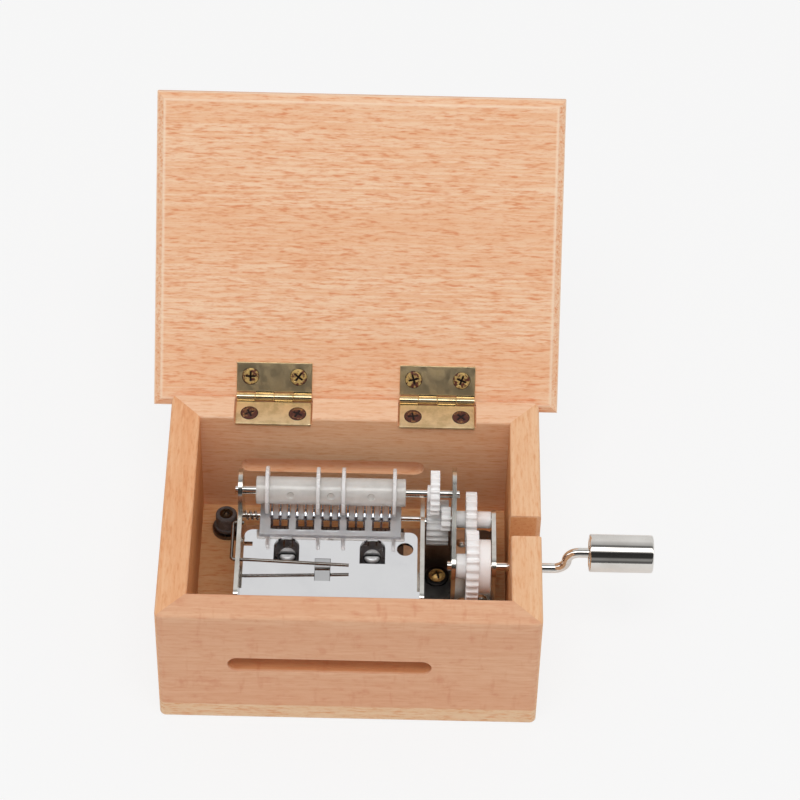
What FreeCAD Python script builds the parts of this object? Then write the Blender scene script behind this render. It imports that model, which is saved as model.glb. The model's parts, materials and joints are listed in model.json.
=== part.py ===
import FreeCAD, Part
import math
import os

from FreeCAD import Vector

# Hand-cranked music box: a beech case that holds a punched-strip movement.
# Millimetres. X to the right, Y to the back, Z up. The origin is the centre of the underside.

# Fits and small gaps
RUN = 0.05            # radial clearance of a turning shaft
SEAT = 0.02           # radial clearance of a fixed fit
SIDE = 0.1            # end gap of a turning piece
BEND = 0.7            # bend of the hold-down wire, at its middle

# Case
BOX_W = 87.2
BOX_D = 67.5
BOX_H = 36.9
WALL = 7.0
BOARD_T = 5.0
CORNER_R = 1.5        # rounding of the upright corners
EDGE_R = 0.7          # soft edges of the wood
SLOT_H = 4.6
FRONT_SLOT_L = 46.5
FRONT_SLOT_SHIFT = 1.0
BACK_SLOT_L = 44.0
NOTCH_W = 6.0
NOTCH_LAG = 0.4       # notch centre in front of the crank

# Lid and hinges
LID_SIDE = 4.6        # lid past the case at each side
LID_FRONT = 4.0       # lid past the case at the front
LID_T = 7.9
LID_CHAMFER = 1.2
LID_GAP = 0.2         # closed lid above the walls
LID_OPEN = 128.75     # degrees from closed to the stop
STOP_GAP = 0.3        # between the open lid and the back wall
HINGE_X = 19.4
HINGE_W = 18.0
KNUCKLES = 4
KNUCKLE_R = 0.95
KNUCKLE_GAP = 0.1
PIN_R = 0.5
PIN_BEHIND = 0.45     # pin line behind the back wall
LEAF_T = 0.7
LEAF_L = 8.3          # from the pin line
MORTISE_GAP = 0.3     # beside the leaf that is let into the back wall
HINGE_SCREW_Y = 4.9   # from the pin line
HINGE_SCREW_X = 5.7   # from the middle of the hinge
HINGE_SCREW_HEAD_R = 2.1
HINGE_SCREW_HEAD_H = 0.25
HINGE_SCREW_R = 0.9
HINGE_SCREW_L = 6.0

# Movement: places across the case
MOVE_X = -5.25        # middle of the strip
NOTES = 15
NOTE_PITCH = 2.0
PLATE_T = 1.0
LEFT_ROOM = 4.05      # left plate to the paper guide
MID_ROOM = 4.55       # paper guide to the middle plate
GEAR_ROOM = 6.3       # middle plate to gear plate
OUTER_ROOM = 8.4      # gear plate to outer plate
PLATE_FRONT = -17.0
PLATE_REAR = 19.4
PLATE_TOP = 24.0
MID_REAR_TOP = 20.6
MID_STEP_Y = 9.0
PLATE_CORNER = 2.0
FOOT_CORNER = 0.8
BASE_T = 1.2
FLANGE = 3.8
RIVET_R = 0.8
RIVET_HEAD_R = 1.4
RIVET_HEAD_H = 0.6
RIVET_IN = 5.0        # rivets from the plate's ends

# Strip table, guide and wire
TABLE_Z = 19.4
TABLE_T = 0.8
TABLE_GAP = 0.6       # table edge to side plate
TABLE_FRONT = -20.0
TABLE_REAR = 7.0
TABLE_TAB_W = 5.0
TABLE_TAB_Y = -13.4
WINDOW_W = 6.0
WINDOW_X = 10.1       # from the middle
WINDOW_FRONT = -2.8
WINDOW_REAR = 4.85
DRAIN_X = 17.75
DRAIN_Y = 1.8
DRAIN_R = 1.95
LANCE_X = -1.5
LANCE_W = 3.7
LANCE_REAR = -2.6
LANCE_FRONT = -8.25
LANCE_SLOT = 1.1
LANCE_RISE = 1.2
NICK_W = 2.0
NICK_D = 1.3
NICK_Y = 2.55
GUIDE_T = 0.6
GUIDE_MARGIN = 1.7    # guide past the outer notes
GUIDE_BAR = 1.6       # front bar, front to back
GUIDE_WINDOWS = 5
GUIDE_STEP = 3        # notes to each window
GUIDE_RIB = 1.7       # between two windows
GUIDE_WINDOW_L = 3.1
GUIDE_CROSS = 0.35
GUIDE_REAR = 19.4
GUIDE_SLOT_W = 0.85
GUIDE_SLOT_END = 0.4  # slot past the star points
GUIDE_RIM = 0.8
CHEEK_T = 1.2
CHEEK_H = 3.2
WIRE_R = 0.4
WIRE_Y = -4.8
WIRE_REAR_Y = 6.5
WIRE_Z = 22.4
WIRE_OUT = 1.0        # outside the left plate
WIRE_END_X = 4.65     # free end, right of the middle
WIRE_DROP = 1.3
WIRE_HOOK = 0.5       # rear end past the left plate
WIRE_KNEE = 1.3       # where the front end starts to slope

# Star wheels and comb
TIE_Y = -12.0
TIE_Z = 12.0
TIE_R = 0.8
STAR_Y = 13.0
STAR_POKE = 0.5       # star points above the strip's path
STAR_POINTS = 8
STAR_TIP_R = 3.0
STAR_ROOT_R = 1.9
STAR_TIP_W = 0.35
STAR_T = 0.5
STAR_AXLE_R = 0.6
STAR_HUB_R = 0.95
SPRING_R = 1.0
SPRING_WIRE_R = 0.2
SPRING_TURNS = 3
COMB_T = 0.9
COMB_GAP = 0.2        # under the star points
COMB_LEAD = 0.7       # comb tips in front of the star axle
COMB_ROOT_Y = 5.7
COMB_LEAN = 1.5       # treble teeth are cut less deep than bass teeth
COMB_FRONT = -6.5
COMB_CUT = 0.4
BLOCK_REAR = 0.6      # comb root to the block's rear
BLOCK_MARGIN = 0.7
COMB_SCREW_X = 10.0
COMB_SCREW_Y = 3.2
COMB_SCREW_HEAD_R = 2.1
COMB_SCREW_HEAD_H = 1.3
COMB_SCREW_R = 1.2
COMB_SCREW_L = 6.0
DRIVE_W = 0.7         # screwdriver slot
DRIVE_D = 0.5

# Feed roller
ROLLER_Y = 13.8
DISC_R = 5.7
DISC_T = 0.9
DISC_GAP = 0.15       # room for the strip under the discs
DISC_NOTES = (-7.5, -1.5, 1.5, 7.5)   # discs run between the notes
ROLLER_R = 3.3
ROLLER_OVER = 0.95    # roller past the guide
DIMPLES = 3
DIMPLE_R = 0.9
DIMPLE_D = 0.6
DIMPLE_PITCH = 9.5
DIMPLE_EL = 26.0
SHAFT_R = 1.0
SHAFT_PROUD = 0.9
EAR_R = 5.0
GEAR_EAR_R = 6.3

# Gears
PRESSURE = 20.0
BACKLASH = 0.04       # taken from each flank
FINE = 0.5            # module of the roller train
COARSE = 0.6          # module of the crank pair
ROLLER_TEETH = 20
IDLER_TEETH = 20
PINION_TEETH = 10
DRIVEN_TEETH = 20
CRANK_TEETH = 26
ADDENDUM = 0.92
DEDENDUM = 1.25
IDLER_LEAN = 2.6      # degrees, idler in front of the line below the roller
PINION_LEAN = 33.7    # degrees, pinion in front of the line above the idler
CRANK_DIP = 2.5       # degrees, crank below the pinion
ROLLER_GEAR_IN = 1.2  # from the middle plate
ROLLER_GEAR_T = 2.2
ROLLER_HUB_R = 2.0
ROLLER_HUB_T = 0.7
IDLER_IN = 0.5
IDLER_T = 5.2
IDLER_AXLE_R = 0.9
IDLER_HEAD_R = 1.5
IDLER_HEAD_T = 0.3
PINION_T = 2.2
PINION_IN = 0.2       # from the gear plate
LAY_SHAFT_R = 0.9
DRIVEN_IN = 2.3       # from the gear plate
DRIVEN_T = 2.6
DRIVEN_HUB_R = 2.0
CRANK_GEAR_IN = 2.4
CRANK_GEAR_T = 2.9
CRANK_HUB_R = 2.9
DRUM_R = 6.3
DRUM_T = 2.8
LAY_EAR_R = 2.4
CRANK_EAR_R = 3.2
GEAR_PLATE_EAR_R = 4.3

# Crank
CRANK_R = 1.15
CRANK_RISE = 5.8
CRANK_OUT = 3.6       # case to the crank's bend
KNOB_R = 4.4
KNOB_L = 14.8
KNOB_OUT = 2.1        # crank's bend to the knob
KNOB_EDGE = 0.5
KNOB_CUP_R = 3.3
KNOB_CUP_D = 0.8
KNOB_END = 3.0        # closed end of the knob

# Fixing to the board
FIX_IN = 3.3          # screw right of the middle plate
FIX_Y = 4.55
BUSH_OUT = 3.6        # bush left of the left plate
BUSH_Y = 18.9
BUSH_R = 2.45
BUSH_H = 4.8
BUSH_LIP_R = 2.9
BUSH_LIP_H = 1.2
LUG_R = 3.4
FIX_HEAD_R = 2.1
FIX_HEAD_H = 1.2
BUSH_HEAD_R = 1.6
BUSH_HEAD_H = 0.9
FIX_R = 1.2
FIX_DEPTH = 3.4       # thread in the board
WASHER_R = 2.9
WASHER_T = 0.5

# Places worked out from the sizes above
BACK_Y = BOX_D / 2
BASE_TOP = BOARD_T + BASE_T
FOOT_TOP = BASE_TOP + PLATE_T
STRIP_W = NOTES * NOTE_PITCH
GUIDE_HALF = STRIP_W / 2 + GUIDE_MARGIN
LEFT_IN = MOVE_X - GUIDE_HALF - LEFT_ROOM
LEFT_OUT = LEFT_IN - PLATE_T
MID_IN = MOVE_X + GUIDE_HALF + MID_ROOM
MID_OUT = MID_IN + PLATE_T
GEAR_IN = MID_OUT + GEAR_ROOM
GEAR_OUT = GEAR_IN + PLATE_T
OUTER_IN = GEAR_OUT + OUTER_ROOM
OUTER_OUT = OUTER_IN + PLATE_T
FIX_X = MID_OUT + FIX_IN
BUSH_X = LEFT_OUT - BUSH_OUT
CRANK_BEND_X = BOX_W / 2 + CRANK_OUT
KNOB_X = CRANK_BEND_X + CRANK_RISE + KNOB_OUT
PAPER_Z = TABLE_Z + GUIDE_T
ROLLER_Z = PAPER_Z + DISC_GAP + DISC_R
LEAF_SEAT = KNUCKLE_R + KNUCKLE_GAP
PIN_Y = BACK_Y + PIN_BEHIND
PIN_Z = BOX_H + LID_GAP - LEAF_SEAT
LID_W = BOX_W + 2 * LID_SIDE
STAR_Z = PAPER_Z + STAR_POKE - STAR_TIP_R
STAR_REACH = math.sqrt(STAR_TIP_R ** 2 - (TABLE_Z - STAR_Z) ** 2)
STAR_PLACES = [MOVE_X + (i - (NOTES - 1) / 2) * NOTE_PITCH for i in range(NOTES)]
COMB_TOP = STAR_Z - STAR_TIP_R - COMB_GAP
COMB_TIP_Y = STAR_Y - COMB_LEAD
GUIDE_SLOTS_Y = STAR_Y - STAR_REACH - GUIDE_SLOT_END
GUIDE_WINDOWS_Y = GUIDE_SLOTS_Y - GUIDE_CROSS - GUIDE_WINDOW_L
HINGES = {"left": -HINGE_X, "right": HINGE_X}


def step_from(centre, distance, angle):
    """Point at a distance from a centre in the YZ plane, angle from +Y towards +Z."""
    turn = math.radians(angle)
    return (centre[0] + distance * math.cos(turn), centre[1] + distance * math.sin(turn))


def centre_distance(module, teeth, mate_teeth):
    return module * (teeth + mate_teeth) / 2


ROLLER = (ROLLER_Y, ROLLER_Z)
IDLER = step_from(ROLLER, centre_distance(FINE, ROLLER_TEETH, IDLER_TEETH), 270 - IDLER_LEAN)
LAY = step_from(IDLER, centre_distance(FINE, IDLER_TEETH, PINION_TEETH), 90 + PINION_LEAN)
CRANK = step_from(LAY, centre_distance(COARSE, DRIVEN_TEETH, CRANK_TEETH), 180 + CRANK_DIP)
NOTCH_Y = CRANK[0] - NOTCH_LAG


# General shapes
def save(name, shape):
    shape.exportStep("parts/" + name + ".step")


def block(x0, x1, y0, y1, z0, z1):
    return Part.makeBox(x1 - x0, y1 - y0, z1 - z0, Vector(x0, y0, z0))


def rod_x(centre, radius, x0, x1):
    return Part.makeCylinder(radius, x1 - x0, Vector(x0, *centre), Vector(1, 0, 0))


def rod_z(x, y, radius, z0, z1):
    return Part.makeCylinder(radius, z1 - z0, Vector(x, y, z0))


def ring_x(centre, radius, bore, x0, x1):
    return rod_x(centre, radius, x0, x1).cut(rod_x(centre, bore, x0, x1))


def round_hull(discs, x0, x1):
    """Plate whose outline is a taut band round discs (y, z, radius) in anticlockwise order."""
    def leaving(first, second):
        along = math.atan2(second[1] - first[1], second[0] - first[0])
        distance = math.hypot(second[0] - first[0], second[1] - first[1])
        return along - math.acos((first[2] - second[2]) / distance)

    def rim(disc, angle):
        return Vector(x0, disc[0] + disc[2] * math.cos(angle), disc[1] + disc[2] * math.sin(angle))

    turns = [leaving(disc, discs[(i + 1) % len(discs)]) for i, disc in enumerate(discs)]
    edges = []
    for i, disc in enumerate(discs):
        start = turns[i - 1]
        end = turns[i]
        while end < start:
            end += 2 * math.pi
        arc = Part.Arc(rim(disc, start), rim(disc, (start + end) / 2), rim(disc, end))
        edges.append(arc.toShape())
        onward = discs[(i + 1) % len(discs)]
        edges.append(Part.makeLine(rim(disc, end), rim(onward, end)))
    return Part.Face(Part.Wire(edges)).extrude(Vector(x1 - x0, 0, 0))


def rounded_board(x0, x1, y0, y1, z0, z1, radius):
    """Board with its four upright edges rounded."""
    board = block(x0, x1, y0, y1, z0, z1)
    upright = [edge for edge in board.Edges if edge.BoundBox.ZLength > (z1 - z0) / 2]
    return board.makeFillet(radius, upright)


def slot_y(x, z, length, height, y0, y1):
    """Round-ended slot that runs along Y through a wall."""
    half = (length - height) / 2
    middle = block(x - half, x + half, y0, y1, z - height / 2, z + height / 2)
    ends = [Part.makeCylinder(height / 2, y1 - y0, Vector(x + side * half, y0, z), Vector(0, 1, 0))
            for side in (-1, 1)]
    return middle.fuse(ends).removeSplitter()


def screw(head_r, head_h, shank_r, length):
    """Dome-headed screw on the Z axis, with the underside of its head at the origin."""
    swell = (head_r * head_r - head_h * head_h) / (2 * head_h)
    half = head_r / 2
    middle = Vector(half, 0, math.sqrt((swell + head_h) ** 2 - half ** 2) - swell)
    dome = Part.Arc(Vector(0, 0, head_h), middle, Vector(head_r, 0, 0)).toShape()
    corners = [Vector(head_r, 0, 0), Vector(shank_r, 0, 0), Vector(shank_r, 0, -length),
               Vector(0, 0, -length), Vector(0, 0, head_h)]
    outline = Part.Wire([dome] + Part.makePolygon(corners).Edges)
    return Part.Face(outline).revolve(Vector(), Vector(0, 0, 1), 360)


def placed(shape, x, y, z):
    copy = shape.copy()
    copy.translate(Vector(x, y, z))
    return copy


def opened(shape):
    """Turn a piece of the closed lid to the open stop."""
    copy = shape.copy()
    copy.rotate(Vector(0, PIN_Y, PIN_Z), Vector(1, 0, 0), -LID_OPEN)
    return copy


# Case
def hinge_screw_places():
    return [middle + side * HINGE_SCREW_X for middle in HINGES.values() for side in (-1, 1)]


def bottom_board():
    board = rounded_board(-BOX_W / 2, BOX_W / 2, -BACK_Y, BACK_Y, 0, BOARD_T, CORNER_R)
    under = [edge for edge in board.Edges if edge.BoundBox.ZMax < EDGE_R]
    board = board.makeFillet(EDGE_R, under)
    for x, y in ((FIX_X, FIX_Y), (BUSH_X, BUSH_Y)):
        board = board.cut(rod_z(x, y, FIX_R + SEAT, BOARD_T - FIX_DEPTH - SIDE, BOARD_T))
    return board


def wall_ring():
    """The four walls before they are parted at the mitres."""
    outer = rounded_board(-BOX_W / 2, BOX_W / 2, -BACK_Y, BACK_Y, BOARD_T, BOX_H, CORNER_R)
    hollow = block(-BOX_W / 2 + WALL, BOX_W / 2 - WALL, -BACK_Y + WALL, BACK_Y - WALL, BOARD_T, BOX_H)
    ring = outer.cut(hollow)
    top = [edge for edge in ring.Edges if edge.BoundBox.ZMin > BOX_H - EDGE_R]
    return ring.makeFillet(EDGE_R, top)


def mitre_wedge(side, along_x):
    """Part of the ring between two mitres: front or back if along_x, else left or right."""
    far = BOX_W + BOX_D
    half_w = BOX_W / 2
    if along_x:
        peak = Vector(0, side * (BACK_Y - half_w), BOARD_T)
        reach = [Vector(turn * far, peak.y + side * far, BOARD_T) for turn in (-1, 1)]
    else:
        peak = Vector(side * (half_w - BACK_Y), 0, BOARD_T)
        reach = [Vector(peak.x + side * far, turn * far, BOARD_T) for turn in (-1, 1)]
    outline = Part.makePolygon([peak, reach[0], reach[1], peak])
    return Part.Face(outline).extrude(Vector(0, 0, BOX_H))


def walls():
    ring = wall_ring()
    front = ring.common(mitre_wedge(-1, True))
    front = front.cut(slot_y(MOVE_X + FRONT_SLOT_SHIFT, PAPER_Z, FRONT_SLOT_L, SLOT_H,
                             -BACK_Y, -BACK_Y + WALL))
    back = ring.common(mitre_wedge(1, True))
    back = back.cut(slot_y(MOVE_X, PAPER_Z, BACK_SLOT_L, SLOT_H, BACK_Y - WALL, BACK_Y))
    leaf_seat = PIN_Z - LEAF_SEAT
    half = HINGE_W / 2 + MORTISE_GAP
    for middle in HINGES.values():
        back = back.cut(block(middle - half, middle + half, BACK_Y - WALL, BACK_Y, leaf_seat, BOX_H))
    for x in hinge_screw_places():
        back = back.cut(rod_z(x, PIN_Y - HINGE_SCREW_Y, HINGE_SCREW_R + SEAT,
                              leaf_seat - HINGE_SCREW_L, leaf_seat))
    right = ring.common(mitre_wedge(1, False))
    half = NOTCH_W / 2
    right = right.cut(block(0, BOX_W, NOTCH_Y - half, NOTCH_Y + half, CRANK[1], BOX_H))
    right = right.cut(rod_x((NOTCH_Y, CRANK[1]), half, 0, BOX_W))
    left = ring.common(mitre_wedge(-1, False))
    return {"front_wall": front, "back_wall": back, "left_wall": left, "right_wall": right}


# Lid and hinges
def lid_rear():
    """How far the lid reaches behind the pin, so that its chamfered edge meets the back wall at the stop."""
    turn = math.radians(LID_OPEN)

    def reach(above):
        return (above * math.sin(turn) + PIN_BEHIND - STOP_GAP) / -math.cos(turn)

    return min(LID_CHAMFER + reach(LEAF_SEAT), reach(LEAF_SEAT + LID_CHAMFER))


def lid_board():
    """Board with all its edges chamfered."""
    rear = PIN_Y + lid_rear()
    under = PIN_Z + LEAF_SEAT
    board = block(-LID_W / 2, LID_W / 2, -BACK_Y - LID_FRONT, rear, under, under + LID_T)
    flat = [edge for edge in board.Edges if edge.BoundBox.ZLength < LID_T / 2]
    board = board.makeChamfer(LID_CHAMFER, flat)
    for x in hinge_screw_places():
        board = board.cut(rod_z(x, PIN_Y - HINGE_SCREW_Y, HINGE_SCREW_R + SEAT,
                                under, under + HINGE_SCREW_L))
    return opened(board)


def knuckle_spans(middle, first):
    """Ends of every second knuckle of a hinge, from the first one named."""
    pitch = HINGE_W / KNUCKLES
    left = middle - HINGE_W / 2
    return [(left + i * pitch, left + (i + 1) * pitch) for i in range(first, KNUCKLES, 2)]


def hinge_leaf(middle, first, over):
    """Leaf with its own knuckles; over is 1 for the lid's leaf and -1 for the one let into the back wall."""
    face = PIN_Z + over * LEAF_SEAT
    z0 = min(face, face - over * LEAF_T)
    half = HINGE_W / 2
    leaf = block(middle - half, middle + half, PIN_Y - LEAF_L, PIN_Y, z0, z0 + LEAF_T)
    axis = (PIN_Y, PIN_Z)
    for x0, x1 in knuckle_spans(middle, 1 - first):
        leaf = leaf.cut(rod_x(axis, LEAF_SEAT + KNUCKLE_GAP, x0 - SIDE / 2, x1 + SIDE / 2))
        leaf = leaf.cut(block(x0 - SIDE / 2, x1 + SIDE / 2, PIN_Y - LEAF_SEAT, PIN_Y, z0, z0 + LEAF_T))
    for x0, x1 in knuckle_spans(middle, first):
        leaf = leaf.fuse(rod_x(axis, KNUCKLE_R, x0 + SIDE / 2, x1 - SIDE / 2))
    leaf = leaf.cut(rod_x(axis, PIN_R + RUN, middle - half, middle + half))
    for side in (-1, 1):
        leaf = leaf.cut(rod_z(middle + side * HINGE_SCREW_X, PIN_Y - HINGE_SCREW_Y,
                              HINGE_SCREW_R + RUN, z0, z0 + LEAF_T))
    return leaf.removeSplitter()


def hinge_pins():
    half = HINGE_W / 2
    pins = [rod_x((PIN_Y, PIN_Z), PIN_R, middle - half, middle + half) for middle in HINGES.values()]
    return Part.Compound(pins)


def hinge_screws(over):
    """The four screws of the box leaves or of the lid leaves, in the closed place."""
    one = screw(HINGE_SCREW_HEAD_R, HINGE_SCREW_HEAD_H, HINGE_SCREW_R, HINGE_SCREW_L)
    if over > 0:
        one.rotate(Vector(), Vector(1, 0, 0), 180)
    head = PIN_Z + over * (LEAF_SEAT - LEAF_T)
    return Part.Compound([placed(one, x, PIN_Y - HINGE_SCREW_Y, head) for x in hinge_screw_places()])


def build_case():
    save("bottom_board", bottom_board())
    for name, wall in walls().items():
        save(name, wall)
    save("lid_board", lid_board())
    for side, middle in HINGES.items():
        save(side + "_hinge_box_leaf", hinge_leaf(middle, 0, -1))
        save(side + "_hinge_lid_leaf", opened(hinge_leaf(middle, 1, 1)))
    save("hinge_pins", hinge_pins())
    save("hinge_box_screws", hinge_screws(-1))
    save("hinge_lid_screws", opened(hinge_screws(1)))


# Movement frame
def flange_spans():
    """X range of each plate's foot, from the plate's inner to its free edge."""
    return {
        "left": (LEFT_IN, LEFT_IN + FLANGE),
        "middle": (MID_IN - FLANGE, MID_IN),
        "gear": (GEAR_OUT, GEAR_OUT + FLANGE),
        "outer": (OUTER_IN - FLANGE, OUTER_IN),
    }


def rivet_places():
    """Two rivets to each foot, near its front and rear end."""
    places = {}
    for name, (x0, x1) in flange_spans().items():
        front, rear = foot_range(name)
        places[name] = [((x0 + x1) / 2, front + RIVET_IN), ((x0 + x1) / 2, rear - RIVET_IN)]
    return places


def foot_range(name):
    """Front and rear end of each plate at its foot."""
    if name == "gear":
        return (CRANK[0] - GEAR_PLATE_EAR_R, PLATE_REAR)
    if name == "outer":
        return (CRANK[0] - CRANK_EAR_R, LAY[0] + LAY_EAR_R)
    return (PLATE_FRONT, PLATE_REAR)


def feet(name):
    """The two lower corners of a plate's outline."""
    front, rear = foot_range(name)
    z = BASE_TOP + FOOT_CORNER
    return [(front + FOOT_CORNER, z, FOOT_CORNER), (rear - FOOT_CORNER, z, FOOT_CORNER)]


def with_foot(plate, name):
    """Add the bent foot and its rivet holes to an upright plate."""
    x0, x1 = flange_spans()[name]
    front, rear = foot_range(name)
    foot = block(x0, x1, front + FOOT_CORNER, rear - FOOT_CORNER, BASE_TOP, FOOT_TOP)
    plate = plate.fuse(foot)
    for x, y in rivet_places()[name]:
        plate = plate.cut(rod_z(x, y, RIVET_R + SEAT, BASE_TOP, FOOT_TOP))
    return plate.removeSplitter()


def movement_base():
    base = rounded_board(LEFT_OUT, OUTER_OUT, PLATE_FRONT, PLATE_REAR, BOARD_T, BASE_TOP, PLATE_CORNER)
    lug = rod_z(BUSH_X, BUSH_Y, LUG_R, BOARD_T, BASE_TOP)
    arm = block(BUSH_X, LEFT_OUT + LUG_R, BUSH_Y - LUG_R, PLATE_REAR - PLATE_CORNER, BOARD_T, BASE_TOP)
    base = base.fuse([lug, arm])
    for x, y in ((FIX_X, FIX_Y), (BUSH_X, BUSH_Y)):
        base = base.cut(rod_z(x, y, FIX_R + RUN, BOARD_T, BASE_TOP))
    for places in rivet_places().values():
        for x, y in places:
            base = base.cut(rod_z(x, y, RIVET_R + SEAT, BOARD_T, BASE_TOP))
    return base.removeSplitter()


def table_slot(x0, x1):
    """Slot in a side plate for the tab of the strip table."""
    half = TABLE_TAB_W / 2 + RUN
    return block(x0, x1, TABLE_TAB_Y - half, TABLE_TAB_Y + half, TABLE_Z - TABLE_T - RUN, TABLE_Z + RUN)


def left_side_plate():
    top = (PLATE_FRONT + PLATE_CORNER, PLATE_TOP - PLATE_CORNER, PLATE_CORNER)
    shoulder = (PLATE_REAR - PLATE_CORNER, PLATE_TOP - PLATE_CORNER, PLATE_CORNER)
    body = round_hull(feet("left") + [shoulder, top], LEFT_OUT, LEFT_IN)
    ear = round_hull([(ROLLER_Y, TABLE_Z, EAR_R), (*ROLLER, EAR_R)], LEFT_OUT, LEFT_IN)
    plate = body.fuse(ear)
    holes = [rod_x(ROLLER, SHAFT_R + RUN, LEFT_OUT, LEFT_IN)]
    holes += [rod_x((TIE_Y, TIE_Z), TIE_R + SEAT, LEFT_OUT, LEFT_IN)]
    holes += [rod_x((STAR_Y, STAR_Z), STAR_AXLE_R + SEAT, LEFT_OUT, LEFT_IN)]
    holes += [rod_x((y, WIRE_Z), WIRE_R + RUN, LEFT_OUT, LEFT_IN) for y in (WIRE_Y, WIRE_REAR_Y)]
    return with_foot(plate.cut(holes + [table_slot(LEFT_OUT, LEFT_IN)]), "left")


def middle_side_plate():
    front_top = (PLATE_FRONT + PLATE_CORNER, PLATE_TOP - PLATE_CORNER, PLATE_CORNER)
    step_top = (MID_STEP_Y - PLATE_CORNER, PLATE_TOP - PLATE_CORNER, PLATE_CORNER)
    rear_top = (PLATE_REAR - PLATE_CORNER, MID_REAR_TOP - PLATE_CORNER, PLATE_CORNER)
    low_front = (PLATE_FRONT + PLATE_CORNER, MID_REAR_TOP - PLATE_CORNER, PLATE_CORNER)
    step_foot = (MID_STEP_Y - FOOT_CORNER, BASE_TOP + FOOT_CORNER, FOOT_CORNER)
    low = round_hull(feet("middle") + [rear_top, low_front], MID_IN, MID_OUT)
    high = round_hull([feet("middle")[0], step_foot, step_top, front_top], MID_IN, MID_OUT)
    plate = low.fuse(high)
    holes = [rod_x((TIE_Y, TIE_Z), TIE_R + SEAT, MID_IN, MID_OUT)]
    holes += [rod_x((STAR_Y, STAR_Z), STAR_AXLE_R + SEAT, MID_IN, MID_OUT)]
    return with_foot(plate.cut(holes + [table_slot(MID_IN, MID_OUT)]), "middle")


def gear_plate():
    ears = [(*ROLLER, GEAR_EAR_R), (*CRANK, GEAR_PLATE_EAR_R)]
    plate = round_hull(feet("gear") + ears, GEAR_IN, GEAR_OUT)
    holes = [rod_x(ROLLER, SHAFT_R + RUN, GEAR_IN, GEAR_OUT)]
    holes += [rod_x(IDLER, IDLER_AXLE_R + SEAT, GEAR_IN, GEAR_OUT)]
    holes += [rod_x(LAY, LAY_SHAFT_R + RUN, GEAR_IN, GEAR_OUT)]
    holes += [rod_x(CRANK, CRANK_R + RUN, GEAR_IN, GEAR_OUT)]
    return with_foot(plate.cut(holes), "gear")


def outer_gear_plate():
    ears = [(*LAY, LAY_EAR_R), (*CRANK, CRANK_EAR_R)]
    plate = round_hull(feet("outer") + ears, OUTER_IN, OUTER_OUT)
    holes = [rod_x(LAY, LAY_SHAFT_R + RUN, OUTER_IN, OUTER_OUT)]
    holes += [rod_x(CRANK, CRANK_R + RUN, OUTER_IN, OUTER_OUT)]
    return with_foot(plate.cut(holes), "outer")


def frame_rivets():
    one = screw(RIVET_HEAD_R, RIVET_HEAD_H, RIVET_R, FOOT_TOP - BOARD_T - RUN)
    return Part.Compound([placed(one, x, y, FOOT_TOP) for pair in rivet_places().values() for x, y in pair])


def build_frame():
    save("movement_base", movement_base())
    save("left_side_plate", left_side_plate())
    save("middle_side_plate", middle_side_plate())
    save("gear_plate", gear_plate())
    save("outer_gear_plate", outer_gear_plate())
    save("frame_rivets", frame_rivets())
    save("tie_rod", rod_x((TIE_Y, TIE_Z), TIE_R, LEFT_OUT, MID_OUT))


# Strip table, guide and wire
def table_window(x):
    """Window with a straight front and an arched rear."""
    half = WINDOW_W / 2
    z0 = TABLE_Z - TABLE_T
    straight = block(x - half, x + half, WINDOW_FRONT, WINDOW_REAR - half, z0, TABLE_Z)
    return straight.fuse(rod_z(x, WINDOW_REAR - half, half, z0, TABLE_Z))


def lance_tab():
    """Tongue that stays joined at its front and rises to its free rear end."""
    x0 = MOVE_X + LANCE_X - LANCE_W / 2 + SIDE
    z0 = TABLE_Z - TABLE_T
    corners = [Vector(x0, LANCE_FRONT, z0), Vector(x0, LANCE_REAR, z0 + LANCE_RISE),
               Vector(x0, LANCE_REAR, TABLE_Z + LANCE_RISE), Vector(x0, LANCE_FRONT, TABLE_Z)]
    return Part.Face(Part.makePolygon(corners + corners[:1])).extrude(Vector(LANCE_W - 2 * SIDE, 0, 0))


def table_plate():
    x0 = LEFT_IN + TABLE_GAP
    x1 = MID_IN - TABLE_GAP
    z0 = TABLE_Z - TABLE_T
    plate = rounded_board(x0, x1, TABLE_FRONT, TABLE_REAR, z0, TABLE_Z, PLATE_CORNER)
    half = TABLE_TAB_W / 2
    plate = plate.fuse(block(LEFT_OUT, MID_OUT, TABLE_TAB_Y - half, TABLE_TAB_Y + half, z0, TABLE_Z))
    lance_x = MOVE_X + LANCE_X
    cuts = [table_window(MOVE_X + side * WINDOW_X) for side in (-1, 1)]
    cuts += [rod_z(MOVE_X + DRAIN_X, DRAIN_Y, DRAIN_R, z0, TABLE_Z)]
    cuts += [block(lance_x - LANCE_W / 2, lance_x + LANCE_W / 2, LANCE_FRONT, LANCE_REAR + LANCE_SLOT,
                   z0, TABLE_Z)]
    cuts += [block(x0, x0 + NICK_W, NICK_Y - NICK_D / 2, NICK_Y + NICK_D / 2, z0, TABLE_Z)]
    return plate.cut(cuts).fuse(lance_tab()).removeSplitter()


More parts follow.
